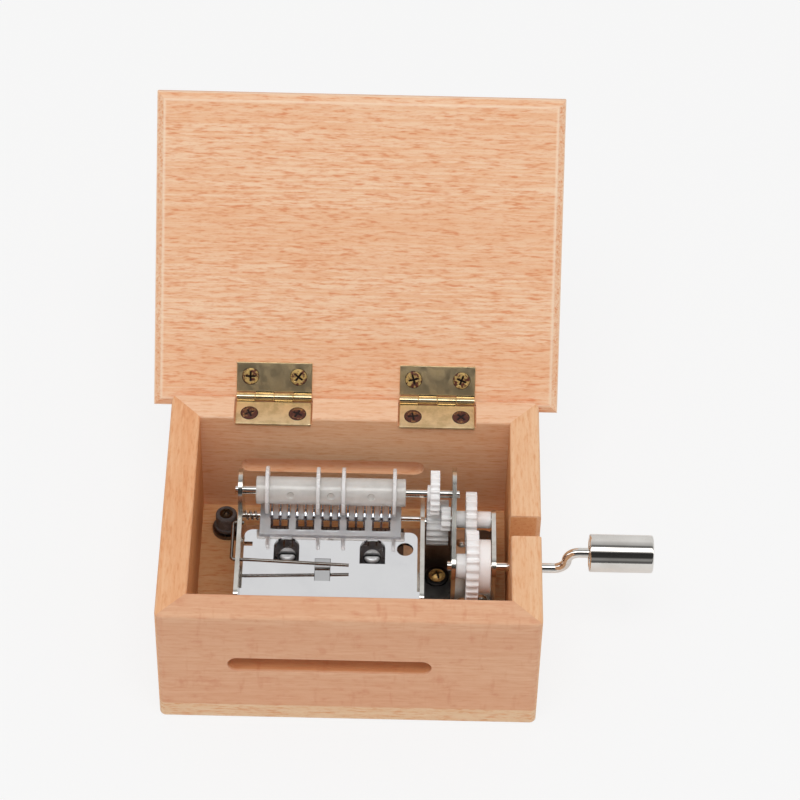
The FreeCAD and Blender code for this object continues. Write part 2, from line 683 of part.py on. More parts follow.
def paper_guide():
    """White guide: front bar, five windows, a slot over every star wheel and two cheeks."""
    front = GUIDE_WINDOWS_Y - GUIDE_BAR
    guide = block(MOVE_X - GUIDE_HALF, MOVE_X + GUIDE_HALF, front, GUIDE_REAR, TABLE_Z, PAPER_Z)
    pitch = GUIDE_STEP * NOTE_PITCH
    half = (pitch - GUIDE_RIB) / 2
    cuts = []
    for i in range(GUIDE_WINDOWS):
        x = MOVE_X + (i - (GUIDE_WINDOWS - 1) / 2) * pitch
        cuts.append(block(x - half, x + half, GUIDE_WINDOWS_Y, GUIDE_WINDOWS_Y + GUIDE_WINDOW_L,
                          TABLE_Z, PAPER_Z))
    for x in STAR_PLACES:
        cuts.append(block(x - GUIDE_SLOT_W / 2, x + GUIDE_SLOT_W / 2,
                          GUIDE_SLOTS_Y, GUIDE_REAR - GUIDE_RIM, TABLE_Z, PAPER_Z))
    guide = guide.cut(cuts)
    for x in (MOVE_X - GUIDE_HALF, MOVE_X + GUIDE_HALF - CHEEK_T):
        cheek = block(x, x + CHEEK_T, GUIDE_SLOTS_Y, GUIDE_REAR, TABLE_Z - CHEEK_H, TABLE_Z)
        guide = guide.fuse(cheek.cut(rod_x((STAR_Y, STAR_Z), STAR_AXLE_R + RUN, x, x + CHEEK_T)))
    return guide.removeSplitter()


def round_wire(points, radius, bend):
    """Round wire along straight runs joined by arcs of one bend radius."""
    edges = []
    start = points[0]
    for i in range(1, len(points) - 1):
        back = (points[i - 1] - points[i]).normalize()
        onward = (points[i + 1] - points[i]).normalize()
        half = back.getAngle(onward) / 2
        inner = (back + onward).normalize()
        enter = points[i] + back * (bend / math.tan(half))
        leave = points[i] + onward * (bend / math.tan(half))
        crown = points[i] + inner * (bend / math.sin(half) - bend)
        edges.append(Part.makeLine(start, enter))
        edges.append(Part.Arc(enter, crown, leave).toShape())
        start = leave
    edges.append(Part.makeLine(start, points[-1]))
    section = Part.Wire(Part.makeCircle(radius, points[0], points[1] - points[0]))
    return Part.Wire(edges).makePipeShell([section], True, False)


def hold_down_wire():
    out = LEFT_OUT - WIRE_OUT
    end = Vector(MOVE_X + WIRE_END_X, WIRE_Y, WIRE_Z - WIRE_DROP)
    knee = Vector(LEFT_IN + WIRE_KNEE, WIRE_Y, WIRE_Z)
    points = [end, knee, Vector(out, WIRE_Y, WIRE_Z), Vector(out, WIRE_REAR_Y, WIRE_Z),
              Vector(LEFT_IN + WIRE_HOOK, WIRE_REAR_Y, WIRE_Z)]
    return round_wire(points, WIRE_R, BEND)


def build_table():
    save("table_plate", table_plate())
    save("paper_guide", paper_guide())
    save("hold_down_wire", hold_down_wire())


# Star wheels and comb
def star_wheel(x):
    """Wheel with pointed prongs and a hub as long as the note pitch; it turns by itself on its axle."""
    half_tip = STAR_TIP_W / 2 / STAR_TIP_R
    step = math.pi / STAR_POINTS
    corners = []
    for i in range(STAR_POINTS):
        middle = 90 + math.degrees(2 * step * i)
        for radius, turn in ((STAR_ROOT_R, -step), (STAR_TIP_R, -half_tip), (STAR_TIP_R, half_tip)):
            y, z = step_from((STAR_Y, STAR_Z), radius, middle + math.degrees(turn))
            corners.append(Vector(x - STAR_T / 2, y, z))
    star = Part.Face(Part.makePolygon(corners + corners[:1])).extrude(Vector(STAR_T, 0, 0))
    half = (NOTE_PITCH - SIDE) / 2
    hub = rod_x((STAR_Y, STAR_Z), STAR_HUB_R, x - half, x + half)
    return star.fuse(hub).cut(rod_x((STAR_Y, STAR_Z), STAR_AXLE_R + RUN, x - half, x + half))


def axle_spring():
    """Small coil spring on the axle, between the left plate and the guide's cheek."""
    x0 = LEFT_IN + SPRING_WIRE_R + RUN
    x1 = MOVE_X - GUIDE_HALF - SPRING_WIRE_R - RUN
    helix = Part.makeHelix((x1 - x0) / SPRING_TURNS, x1 - x0, SPRING_R)
    corners = [Vector(SPRING_R + a * SPRING_WIRE_R, 0, b * SPRING_WIRE_R)
               for a, b in ((1, 0), (0, 1), (-1, 0), (0, -1), (1, 0))]
    section = Part.makePolygon(corners)
    coil = Part.Wire(helix.Edges).makePipeShell([section], True, True)
    coil.rotate(Vector(), Vector(0, 1, 0), 90)
    return placed(coil, x0, STAR_Y, STAR_Z)


def comb():
    """Steel comb: one tooth under every star wheel, with longer teeth on the bass side."""
    x0 = MOVE_X - STRIP_W / 2
    x1 = MOVE_X + STRIP_W / 2
    plate = block(x0, x1, COMB_FRONT, COMB_TIP_Y, COMB_TOP - COMB_T, COMB_TOP)
    cuts = []
    for i in range(1, NOTES):
        x = x0 + i * NOTE_PITCH
        root = COMB_ROOT_Y + COMB_LEAN * i / NOTES
        cuts.append(block(x - COMB_CUT / 2, x + COMB_CUT / 2, root, COMB_TIP_Y, COMB_TOP - COMB_T, COMB_TOP))
    for side in (-1, 1):
        cuts.append(rod_z(MOVE_X + side * COMB_SCREW_X, COMB_SCREW_Y, COMB_SCREW_R + RUN,
                          COMB_TOP - COMB_T, COMB_TOP))
    return plate.cut(cuts)


def comb_block():
    half = STRIP_W / 2 + BLOCK_MARGIN
    top = COMB_TOP - COMB_T
    base = block(MOVE_X - half, MOVE_X + half, COMB_FRONT, COMB_ROOT_Y - BLOCK_REAR, BASE_TOP, top)
    for side in (-1, 1):
        base = base.cut(rod_z(MOVE_X + side * COMB_SCREW_X, COMB_SCREW_Y, COMB_SCREW_R + SEAT,
                              COMB_TOP - COMB_SCREW_L - RUN, top))
    return base


def comb_screws():
    """Cheese-head screws with a straight slot."""
    screws = []
    for side in (-1, 1):
        x = MOVE_X + side * COMB_SCREW_X
        top = COMB_TOP + COMB_SCREW_HEAD_H
        head = rod_z(x, COMB_SCREW_Y, COMB_SCREW_HEAD_R, COMB_TOP, top)
        shank = rod_z(x, COMB_SCREW_Y, COMB_SCREW_R, COMB_TOP - COMB_SCREW_L, COMB_TOP)
        slot = block(x - COMB_SCREW_HEAD_R, x + COMB_SCREW_HEAD_R, COMB_SCREW_Y - DRIVE_W / 2,
                     COMB_SCREW_Y + DRIVE_W / 2, top - DRIVE_D, top)
        screws.append(head.fuse(shank).cut(slot).removeSplitter())
    return Part.Compound(screws)


def build_sounding():
    save("star_axle", rod_x((STAR_Y, STAR_Z), STAR_AXLE_R, LEFT_OUT, MID_OUT))
    for i, x in enumerate(STAR_PLACES):
        save("star_wheel_{:02d}".format(i + 1), star_wheel(x))
    save("axle_spring", axle_spring())
    save("comb", comb())
    save("comb_block", comb_block())
    save("comb_screws", comb_screws())


# Gears
def involute(angle):
    return math.tan(angle) - angle


def gear(teeth, module, centre, phase, x0, x1):
    """Involute spur gear; phase is the angle of one tooth, from +Y towards +Z."""
    pitch_r = module * teeth / 2
    base_r = pitch_r * math.cos(math.radians(PRESSURE))
    root_r = pitch_r - DEDENDUM * module
    tip_r = pitch_r + ADDENDUM * module
    half_pitch = math.pi / 2 / teeth - BACKLASH / pitch_r

    def half_width(radius):
        reach = math.acos(base_r / max(radius, base_r))
        return half_pitch + involute(math.radians(PRESSURE)) - involute(reach)

    flank = [root_r, max(root_r, base_r), (pitch_r + tip_r) / 2, tip_r]
    radii = sorted(set(flank))
    corners = []
    for i in range(teeth):
        middle = phase + 360 * i / teeth
        rising = [(radius, -half_width(radius)) for radius in radii]
        falling = [(radius, -turn) for radius, turn in reversed(rising)]
        for radius, turn in rising + falling:
            y, z = step_from(centre, radius, middle + math.degrees(turn))
            corners.append(Vector(x0, y, z))
    return Part.Face(Part.makePolygon(corners + corners[:1])).extrude(Vector(x1 - x0, 0, 0))


def mesh_phase(phase, teeth, centre, mate_teeth, mate_centre):
    """Angle of one tooth of the mate, so that a gap of it faces a tooth of the first gear."""
    along = math.degrees(math.atan2(mate_centre[1] - centre[1], mate_centre[0] - centre[0]))
    return along + 180 + (along - phase) * teeth / mate_teeth + 180 / mate_teeth


ROLLER_PHASE = 90.0
IDLER_PHASE = mesh_phase(ROLLER_PHASE, ROLLER_TEETH, ROLLER, IDLER_TEETH, IDLER)
PINION_PHASE = mesh_phase(IDLER_PHASE, IDLER_TEETH, IDLER, PINION_TEETH, LAY)
DRIVEN_PHASE = 90.0
CRANK_PHASE = mesh_phase(DRIVEN_PHASE, DRIVEN_TEETH, LAY, CRANK_TEETH, CRANK)


def roller_gear():
    x0 = MID_OUT + ROLLER_GEAR_IN
    x1 = x0 + ROLLER_GEAR_T
    wheel = gear(ROLLER_TEETH, FINE, ROLLER, ROLLER_PHASE, x0, x1)
    wheel = wheel.fuse(rod_x(ROLLER, ROLLER_HUB_R, x0 - ROLLER_HUB_T, x0))
    return wheel.cut(rod_x(ROLLER, SHAFT_R + SEAT, x0 - ROLLER_HUB_T, x1))


def idler_gear():
    x0 = MID_OUT + IDLER_IN
    wheel = gear(IDLER_TEETH, FINE, IDLER, IDLER_PHASE, x0, x0 + IDLER_T)
    return wheel.cut(rod_x(IDLER, IDLER_AXLE_R + RUN, x0, x0 + IDLER_T))


def idler_axle():
    """Stub riveted in the gear plate, with a thin head that keeps the idler on."""
    x0 = MID_OUT + IDLER_IN - SIDE
    head = rod_x(IDLER, IDLER_HEAD_R, x0 - IDLER_HEAD_T, x0)
    return head.fuse(rod_x(IDLER, IDLER_AXLE_R, x0, GEAR_OUT)).removeSplitter()


def lay_pinion():
    x1 = GEAR_IN - PINION_IN
    wheel = gear(PINION_TEETH, FINE, LAY, PINION_PHASE, x1 - PINION_T, x1)
    return wheel.cut(rod_x(LAY, LAY_SHAFT_R + SEAT, x1 - PINION_T, x1))


def lay_gear():
    x0 = GEAR_OUT + DRIVEN_IN
    wheel = gear(DRIVEN_TEETH, COARSE, LAY, DRIVEN_PHASE, x0, x0 + DRIVEN_T)
    wheel = wheel.fuse(rod_x(LAY, DRIVEN_HUB_R, GEAR_OUT + SIDE, OUTER_IN - SIDE))
    return wheel.cut(rod_x(LAY, LAY_SHAFT_R + SEAT, GEAR_OUT, OUTER_IN))


def lay_shaft():
    return rod_x(LAY, LAY_SHAFT_R, GEAR_IN - PINION_IN - PINION_T - SIDE, OUTER_OUT + SIDE)


def crank_gear():
    x0 = GEAR_OUT + CRANK_GEAR_IN
    x1 = x0 + CRANK_GEAR_T
    wheel = gear(CRANK_TEETH, COARSE, CRANK, CRANK_PHASE, x0, x1)
    wheel = wheel.fuse(rod_x(CRANK, CRANK_HUB_R, GEAR_OUT + SIDE, x0))
    wheel = wheel.fuse(rod_x(CRANK, DRUM_R, x1, x1 + DRUM_T))
    return wheel.cut(rod_x(CRANK, CRANK_R + SEAT, GEAR_OUT, OUTER_IN))


def build_drive():
    save("roller_gear", roller_gear())
    save("idler_gear", idler_gear())
    save("idler_axle", idler_axle())
    save("lay_pinion", lay_pinion())
    save("lay_gear", lay_gear())
    save("lay_shaft", lay_shaft())
    save("crank_gear", crank_gear())


# Feed roller
def feed_roller():
    x0 = MOVE_X - GUIDE_HALF - ROLLER_OVER
    x1 = MOVE_X + GUIDE_HALF + ROLLER_OVER
    roller = ring_x(ROLLER, ROLLER_R, SHAFT_R + SEAT, x0, x1)
    facing = Vector(0, -math.cos(math.radians(DIMPLE_EL)), math.sin(math.radians(DIMPLE_EL)))
    for i in range(DIMPLES):
        x = MOVE_X + (i - (DIMPLES - 1) / 2) * DIMPLE_PITCH
        floor = Vector(x, *ROLLER) + facing * (ROLLER_R - DIMPLE_D)
        roller = roller.cut(Part.makeCylinder(DIMPLE_R, DIMPLE_D * 2, floor, facing))
    return roller


def feed_discs():
    half = DISC_T / 2
    places = [MOVE_X + note * NOTE_PITCH for note in DISC_NOTES]
    return Part.Compound([ring_x(ROLLER, DISC_R, ROLLER_R + SEAT, x - half, x + half) for x in places])


def build_roller():
    save("roller_shaft", rod_x(ROLLER, SHAFT_R, LEFT_OUT - SHAFT_PROUD, GEAR_OUT + SHAFT_PROUD))
    save("feed_roller", feed_roller())
    save("feed_discs", feed_discs())


# Crank
def crank_rod():
    """Round rod that steps up by its rise in two quarter bends."""
    bend = CRANK_RISE / 2
    y, z = CRANK
    start = Vector(GEAR_IN - SHAFT_PROUD, y, z)
    end = Vector(KNOB_X + KNOB_L - KNOB_END - SIDE, y, z + CRANK_RISE)
    low = Vector(CRANK_BEND_X, y, z)
    middle = Vector(CRANK_BEND_X + bend, y, z + bend)
    high = Vector(CRANK_BEND_X + 2 * bend, y, z + CRANK_RISE)
    lean = bend * math.sqrt(0.5)
    rising = Vector(low.x + lean, y, low.z + bend - lean)
    levelling = Vector(high.x - lean, y, high.z - bend + lean)
    path = Part.Wire([Part.makeLine(start, low), Part.Arc(low, rising, middle).toShape(),
                      Part.Arc(middle, levelling, high).toShape(), Part.makeLine(high, end)])
    section = Part.Wire(Part.makeCircle(CRANK_R, start, Vector(1, 0, 0)))
    return path.makePipeShell([section], True, False)


def crank_knob():
    """Turned knob with chamfered rims, a shallow cup and a blind bore for the rod."""
    axis = (CRANK[0], CRANK[1] + CRANK_RISE)
    knob = rod_x(axis, KNOB_R, KNOB_X, KNOB_X + KNOB_L)
    knob = knob.makeChamfer(KNOB_EDGE, [edge for edge in knob.Edges if edge.Closed])
    knob = knob.cut(rod_x(axis, KNOB_CUP_R, KNOB_X, KNOB_X + KNOB_CUP_D))
    return knob.cut(rod_x(axis, CRANK_R + RUN, KNOB_X, KNOB_X + KNOB_L - KNOB_END))


def build_crank():
    save("crank_rod", crank_rod())
    save("crank_knob", crank_knob())


# Fixing to the board
def rubber_bush():
    body = rod_z(BUSH_X, BUSH_Y, BUSH_R, BASE_TOP, BASE_TOP + BUSH_H)
    lip = rod_z(BUSH_X, BUSH_Y, BUSH_LIP_R, BASE_TOP, BASE_TOP + BUSH_LIP_H)
    bore = rod_z(BUSH_X, BUSH_Y, FIX_R + RUN, BASE_TOP, BASE_TOP + BUSH_H)
    return body.fuse(lip).cut(bore).removeSplitter()


def board_screws():
    """Screw on its washer at the right, and a longer one through the rubber bush."""
    plain = screw(FIX_HEAD_R, FIX_HEAD_H, FIX_R, FIX_DEPTH + BASE_T + WASHER_T)
    bushed = screw(BUSH_HEAD_R, BUSH_HEAD_H, FIX_R, FIX_DEPTH + BASE_T + BUSH_H)
    return Part.Compound([placed(plain, FIX_X, FIX_Y, BASE_TOP + WASHER_T),
                          placed(bushed, BUSH_X, BUSH_Y, BASE_TOP + BUSH_H)])


def build_fixings():
    washer = rod_z(FIX_X, FIX_Y, WASHER_R, BASE_TOP, BASE_TOP + WASHER_T)
    save("board_washer", washer.cut(rod_z(FIX_X, FIX_Y, FIX_R + RUN, BASE_TOP, BASE_TOP + WASHER_T)))
    save("rubber_bush", rubber_bush())
    save("board_screws", board_screws())


os.makedirs("parts", exist_ok=True)
build_case()
build_frame()
build_table()
build_sounding()
build_drive()
build_roller()
build_crank()
build_fixings()
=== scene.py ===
"""Looks of a hand-cranked music box: beech case, brass hinges and a punched-strip movement."""
import json
import math

import bmesh
import bpy
import numpy as np
from mathutils import Euler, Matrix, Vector


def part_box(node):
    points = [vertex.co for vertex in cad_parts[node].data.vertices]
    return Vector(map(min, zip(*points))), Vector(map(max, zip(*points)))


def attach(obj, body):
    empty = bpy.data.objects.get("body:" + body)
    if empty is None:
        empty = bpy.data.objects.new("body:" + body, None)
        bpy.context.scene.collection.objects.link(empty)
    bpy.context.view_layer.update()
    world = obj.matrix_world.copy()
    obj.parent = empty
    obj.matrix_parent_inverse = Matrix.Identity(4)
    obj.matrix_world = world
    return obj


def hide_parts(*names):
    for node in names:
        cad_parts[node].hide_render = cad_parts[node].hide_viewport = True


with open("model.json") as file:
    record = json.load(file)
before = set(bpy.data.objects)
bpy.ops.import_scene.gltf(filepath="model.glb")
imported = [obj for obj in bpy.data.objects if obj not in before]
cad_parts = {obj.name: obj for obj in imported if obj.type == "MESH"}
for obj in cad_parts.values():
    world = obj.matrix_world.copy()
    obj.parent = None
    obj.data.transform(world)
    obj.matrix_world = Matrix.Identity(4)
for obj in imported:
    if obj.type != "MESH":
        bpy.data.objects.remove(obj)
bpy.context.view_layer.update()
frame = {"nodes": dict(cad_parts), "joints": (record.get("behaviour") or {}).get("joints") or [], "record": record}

MM = 0.001
JOINTS = {joint["name"]: joint for joint in frame["joints"]}


def srgb(red, green, blue):
    """Linear colour of an 8-bit display colour."""
    values = np.array([red, green, blue]) / 255
    linear = np.where(values <= 0.04045, values / 12.92, ((values + 0.055) / 1.055) ** 2.4)
    return (*linear.tolist(), 1.0)


# Camera of the photograph
CAMERA_AT = (0.008066, -0.479433, 0.596544)
CAMERA_TURN = (42.4915, -0.9921, 0.8045)
CAMERA_LENS = 143.65
CAMERA_NEAR = 0.01

# Light
BACKDROP = 0.94
FLOOR_SHADE = 0.12
FLOOR_BOUNCE = 0.9
FLOOR_SIZE = 1.4
FLOOR_FRONT = 0.14
AMBIENT = 0.64
KEY_AT = (0.0, -0.36, 1.04)
KEY_AIM = (0, 0, 0.03)
KEY_SIZE = (0.7, 0.5)
KEY_POWER = 4.1
# Brightness of the room in metal, by height in degrees from the front over the top to the back
ROOM = [(-180, 0.8), (180, 0.8), (-16, 0.5), (-10, 0.14), (0, 0.10), (8, 0.28), (17, 0.28),
        (25, 0.04), (55, 0.03), (63, 0.8), (66, 3.5), (80, 3.5), (88, 0.3), (92, 0.16),
        (98, 0.15), (104, 0.5), (118, 0.62), (134, 0.84)]

# Wood: grain axes, depth below the rim where the painted shade inside the case starts, and tones
ALONG_X = 0
ALONG_Y = 1
INSIDE_FROM = 0.7 * MM
# Tints of painted shade inside the case, its slots and its notch; the lighter one is for the back wall
INSIDE_SHADE_TINT = (0.90, 0.74, 0.56, 1)
LIGHTER_INSIDE_SHADE = (1.0, 0.93, 0.84, 1)
# Painted highlight: pale tone of the lid's chamfer ridges
RIDGE_HIGHLIGHT_TONE = srgb(252, 226, 198)

# Softened edges, and how finely round shapes are divided
RIM = 0.12 * MM
WELD = 1e-7
TOOTH_STEPS = 20
ROUND_STEPS = 96
ROD_STEPS = 48


# Shader nodes
def connect(tree, value, socket):
    """Link a socket, or set a number or colour."""
    if isinstance(value, bpy.types.NodeSocket):
        tree.links.new(value, socket)
    else:
        socket.default_value = value


def noise(tree, sizes, detail=2.0, rough=0.5):
    """Noise of the Object coordinates, with features of the given sizes along X, Y and Z."""
    place = tree.nodes.new("ShaderNodeTexCoord").outputs["Object"]
    mapping = tree.nodes.new("ShaderNodeMapping")
    mapping.inputs["Scale"].default_value = [1 / size for size in sizes]
    tree.links.new(place, mapping.inputs["Vector"])
    made = tree.nodes.new("ShaderNodeTexNoise")
    tree.links.new(mapping.outputs["Vector"], made.inputs["Vector"])
    for name, value in (("Scale", 1.0), ("Detail", detail), ("Roughness", rough)):
        made.inputs[name].default_value = value
    return made.outputs["Fac"]


def cloud(tree, size, detail=2.0, rough=0.5):
    """Noise of one size in every direction."""
    return noise(tree, [size] * 3, detail, rough)


def marked(tree):
    """Share that a mesh marks on its points; 0 where it marks nothing."""
    made = tree.nodes.new("ShaderNodeAttribute")
    made.attribute_name = "marks"
    return made.outputs["Fac"]


def ramp(tree, value, low, high, start=0.0, end=1.0):
    """Map a value between two limits smoothly to a range of numbers."""
    made = tree.nodes.new("ShaderNodeMapRange")
    made.interpolation_type = "SMOOTHSTEP"
    tree.links.new(value, made.inputs["Value"])
    for name, number in (("From Min", low), ("From Max", high), ("To Min", start), ("To Max", end)):
        made.inputs[name].default_value = number
    return made.outputs["Result"]


def mixed(tree, share, first, second, blend="MIX"):
    """Colour between two colours, or the first one blended with the second."""
    made = tree.nodes.new("ShaderNodeMix")
    made.data_type = "RGBA"
    made.blend_type = blend
    connect(tree, share, made.inputs[0])
    connect(tree, first, made.inputs[6])
    connect(tree, second, made.inputs[7])
    return made.outputs[2]


def math_node(tree, kind, first, second=0.0):
    """Number worked out from one or two others."""
    made = tree.nodes.new("ShaderNodeMath")
    made.operation = kind
    connect(tree, first, made.inputs[0])
    connect(tree, second, made.inputs[1])
    return made.outputs[0]


def bump(tree, height, distance, strength):
    """Normal tilted by a fine height."""
    made = tree.nodes.new("ShaderNodeBump")
    made.inputs["Strength"].default_value = strength
    made.inputs["Distance"].default_value = distance
    tree.links.new(height, made.inputs["Height"])
    return made.outputs["Normal"]


def finish_of(name):
    """New material, its node tree and its surface shader."""
    material = bpy.data.materials.new(name)
    material.use_nodes = True
    return material, material.node_tree, material.node_tree.nodes["Principled BSDF"]


# Materials
def inside_case(tree):
    """Share of painted shade: 1 inside the case, its slots and its notch, and 0 on outer faces and the rim."""
    split = tree.nodes.new("ShaderNodeSeparateXYZ")
    tree.links.new(tree.nodes.new("ShaderNodeTexCoord").outputs["Object"], split.inputs[0])
    low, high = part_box("front_wall")
    share = ramp(tree, split.outputs["Z"], high.z - INSIDE_FROM, high.z - INSIDE_FROM / 2, 1.0, 0.0)
    for axis, half in (("X", high.x), ("Y", -low.y)):
        off = math_node(tree, "ABSOLUTE", split.outputs[axis])
        near = ramp(tree, off, half - INSIDE_FROM, half - INSIDE_FROM / 2, 1.0, 0.0)
        share = math_node(tree, "MULTIPLY", share, near)
    return share


def beech(name, along, light, dark, fleck, streaked=0.75, dashed=0.5, blotched=0.0, rayed=0.0,
          bare=INSIDE_SHADE_TINT):
    """Beech: soft streaks along the grain, short orange flecks in them, and blotches and rays across it.

    Faces inside the case, its slots and its notch carry painted shade, a deeper tone; marks on a mesh are ridges
    with a painted highlight, a paler tone."""
    material, tree, shader = finish_of(name)

    def grain(length, width, detail=2.0, low=0.4, high=0.66):
        sizes = [width] * 3
        sizes[along] = length
        return ramp(tree, noise(tree, sizes, detail, rough=0.55), low, high)

    def over(tone, share, strength, colour):
        return mixed(tree, math_node(tree, "MULTIPLY", share, strength), tone, colour)

    bands = grain(300 * MM, 9 * MM, detail=3.0, low=0.38, high=0.64)
    long_streaks = grain(24 * MM, 0.62 * MM)
    streaks = grain(5 * MM, 0.7 * MM, detail=2.5)
    short = grain(2.4 * MM, 0.4 * MM, detail=1.5, low=0.42)
    dashes = math_node(tree, "MULTIPLY", short, streaks)
    specks = grain(1.2 * MM, 0.24 * MM, detail=1.0, low=0.56, high=0.68)
    blotches = grain(4 * MM, 3 * MM, detail=3.0, low=0.55, high=0.76)
    rays = grain(2.2 * MM, 9 * MM, detail=3.0, low=0.56, high=0.76)
    tone = light
    for share, strength, colour in (
            (bands, 0.45, dark), (long_streaks, 0.7 * streaked, dark), (streaks, 0.6 * streaked, dark),
            (dashes, dashed, fleck), (specks, 0.3 * dashed, fleck),
            (blotches, blotched, fleck), (rays, rayed, fleck)):
        tone = over(tone, share, strength, colour)
    # Painted shade: inside the case, its slots and its notch the tone is multiplied by the bare tint
    tone = mixed(tree, inside_case(tree), tone, mixed(tree, 1.0, tone, bare, "MULTIPLY"))
    # Painted highlight: marked ridges are mixed towards a pale tone
    tree.links.new(over(tone, marked(tree), 0.75, RIDGE_HIGHLIGHT_TONE), shader.inputs["Base Color"])
    tree.links.new(ramp(tree, dashes, 0, 1, 0.5, 0.64), shader.inputs["Roughness"])
    shader.inputs["Specular IOR Level"].default_value = 0.25
    tree.links.new(bump(tree, specks, 0.04 * MM, 0.3), shader.inputs["Normal"])
    return material


def metal(name, colour, dull, rough, brush=(0.3 * MM, 0.3 * MM, 0.3 * MM), smudge=6 * MM, scratch=0.0,
          polish=None):
    """Plated or polished metal: cloudy smudges vary colour and gloss, and fine lines follow the brushing.

    Where polish is given, it is the roughness of the places that the mesh marks."""
    material, tree, shader = finish_of(name)
    smudges = cloud(tree, smudge, detail=4, rough=0.6)
    tree.links.new(mixed(tree, ramp(tree, smudges, 0.35, 0.75), colour, dull), shader.inputs["Base Color"])
    gloss = ramp(tree, smudges, 0.3, 0.7, *rough)
    if polish is not None:
        gloss = mixed(tree, marked(tree), gloss, (polish, polish, polish, 1))
    tree.links.new(gloss, shader.inputs["Roughness"])
    shader.inputs["Metallic"].default_value = 1.0
    if scratch:
        lines = noise(tree, brush, detail=3)
        tree.links.new(bump(tree, lines, scratch, 0.4), shader.inputs["Normal"])
    return material


def tarnished(name, clean, rust, shadow_and_dark_tone, spread=(0.42, 0.60)):
    """Cheap plated screw: rust patches over the plating, and a dark tone where the mesh is marked: painted shadow
    round a head's rim, and darkening in its recess.
    """
    material, tree, shader = finish_of(name)
    patches = ramp(tree, cloud(tree, 1.3 * MM, detail=5, rough=0.65), *spread)
    grit = cloud(tree, 0.15 * MM)
    tone = mixed(tree, patches, clean, rust)
    tree.links.new(mixed(tree, marked(tree), tone, shadow_and_dark_tone), shader.inputs["Base Color"])
    tree.links.new(ramp(tree, patches, 0, 1, 0.3, 0.55), shader.inputs["Roughness"])
    tree.links.new(ramp(tree, patches, 0, 1, 0.5, 0.3), shader.inputs["Metallic"])
    tree.links.new(bump(tree, grit, 0.04 * MM, 0.5), shader.inputs["Normal"])
    return material


def plastic(name, colour, shade, rough, clear=0.0, milk=0.3):
    """Moulded plastic: faint cloudiness, fine orange peel and, where milky, some light let through."""
    material, tree, shader = finish_of(name)
    haze = cloud(tree, 3 * MM, detail=3)
    peel = cloud(tree, 0.35 * MM)
    tree.links.new(mixed(tree, ramp(tree, haze, 0.3, 0.7), colour, shade), shader.inputs["Base Color"])
    tree.links.new(ramp(tree, haze, 0.3, 0.7, rough, rough + 0.12), shader.inputs["Roughness"])
    shader.inputs["Transmission Weight"].default_value = clear
    shader.inputs["Subsurface Weight"].default_value = milk
    shader.inputs["Subsurface Radius"].default_value = (1.0, 1.0, 1.0)
    shader.inputs["Subsurface Scale"].default_value = 1.2 * MM
    tree.links.new(bump(tree, peel, 0.02 * MM, 0.4), shader.inputs["Normal"])
    return material


def rubber(name, colour, dusty):
    """Dull rubber with a little dust on its pores."""
    material, tree, shader = finish_of(name)
    dust = cloud(tree, 0.8 * MM, detail=5, rough=0.7)
    tree.links.new(mixed(tree, ramp(tree, dust, 0.45, 0.8), colour, dusty), shader.inputs["Base Color"])
    shader.inputs["Roughness"].default_value = 0.75
    tree.links.new(bump(tree, dust, 0.06 * MM, 0.6), shader.inputs["Normal"])
    return material


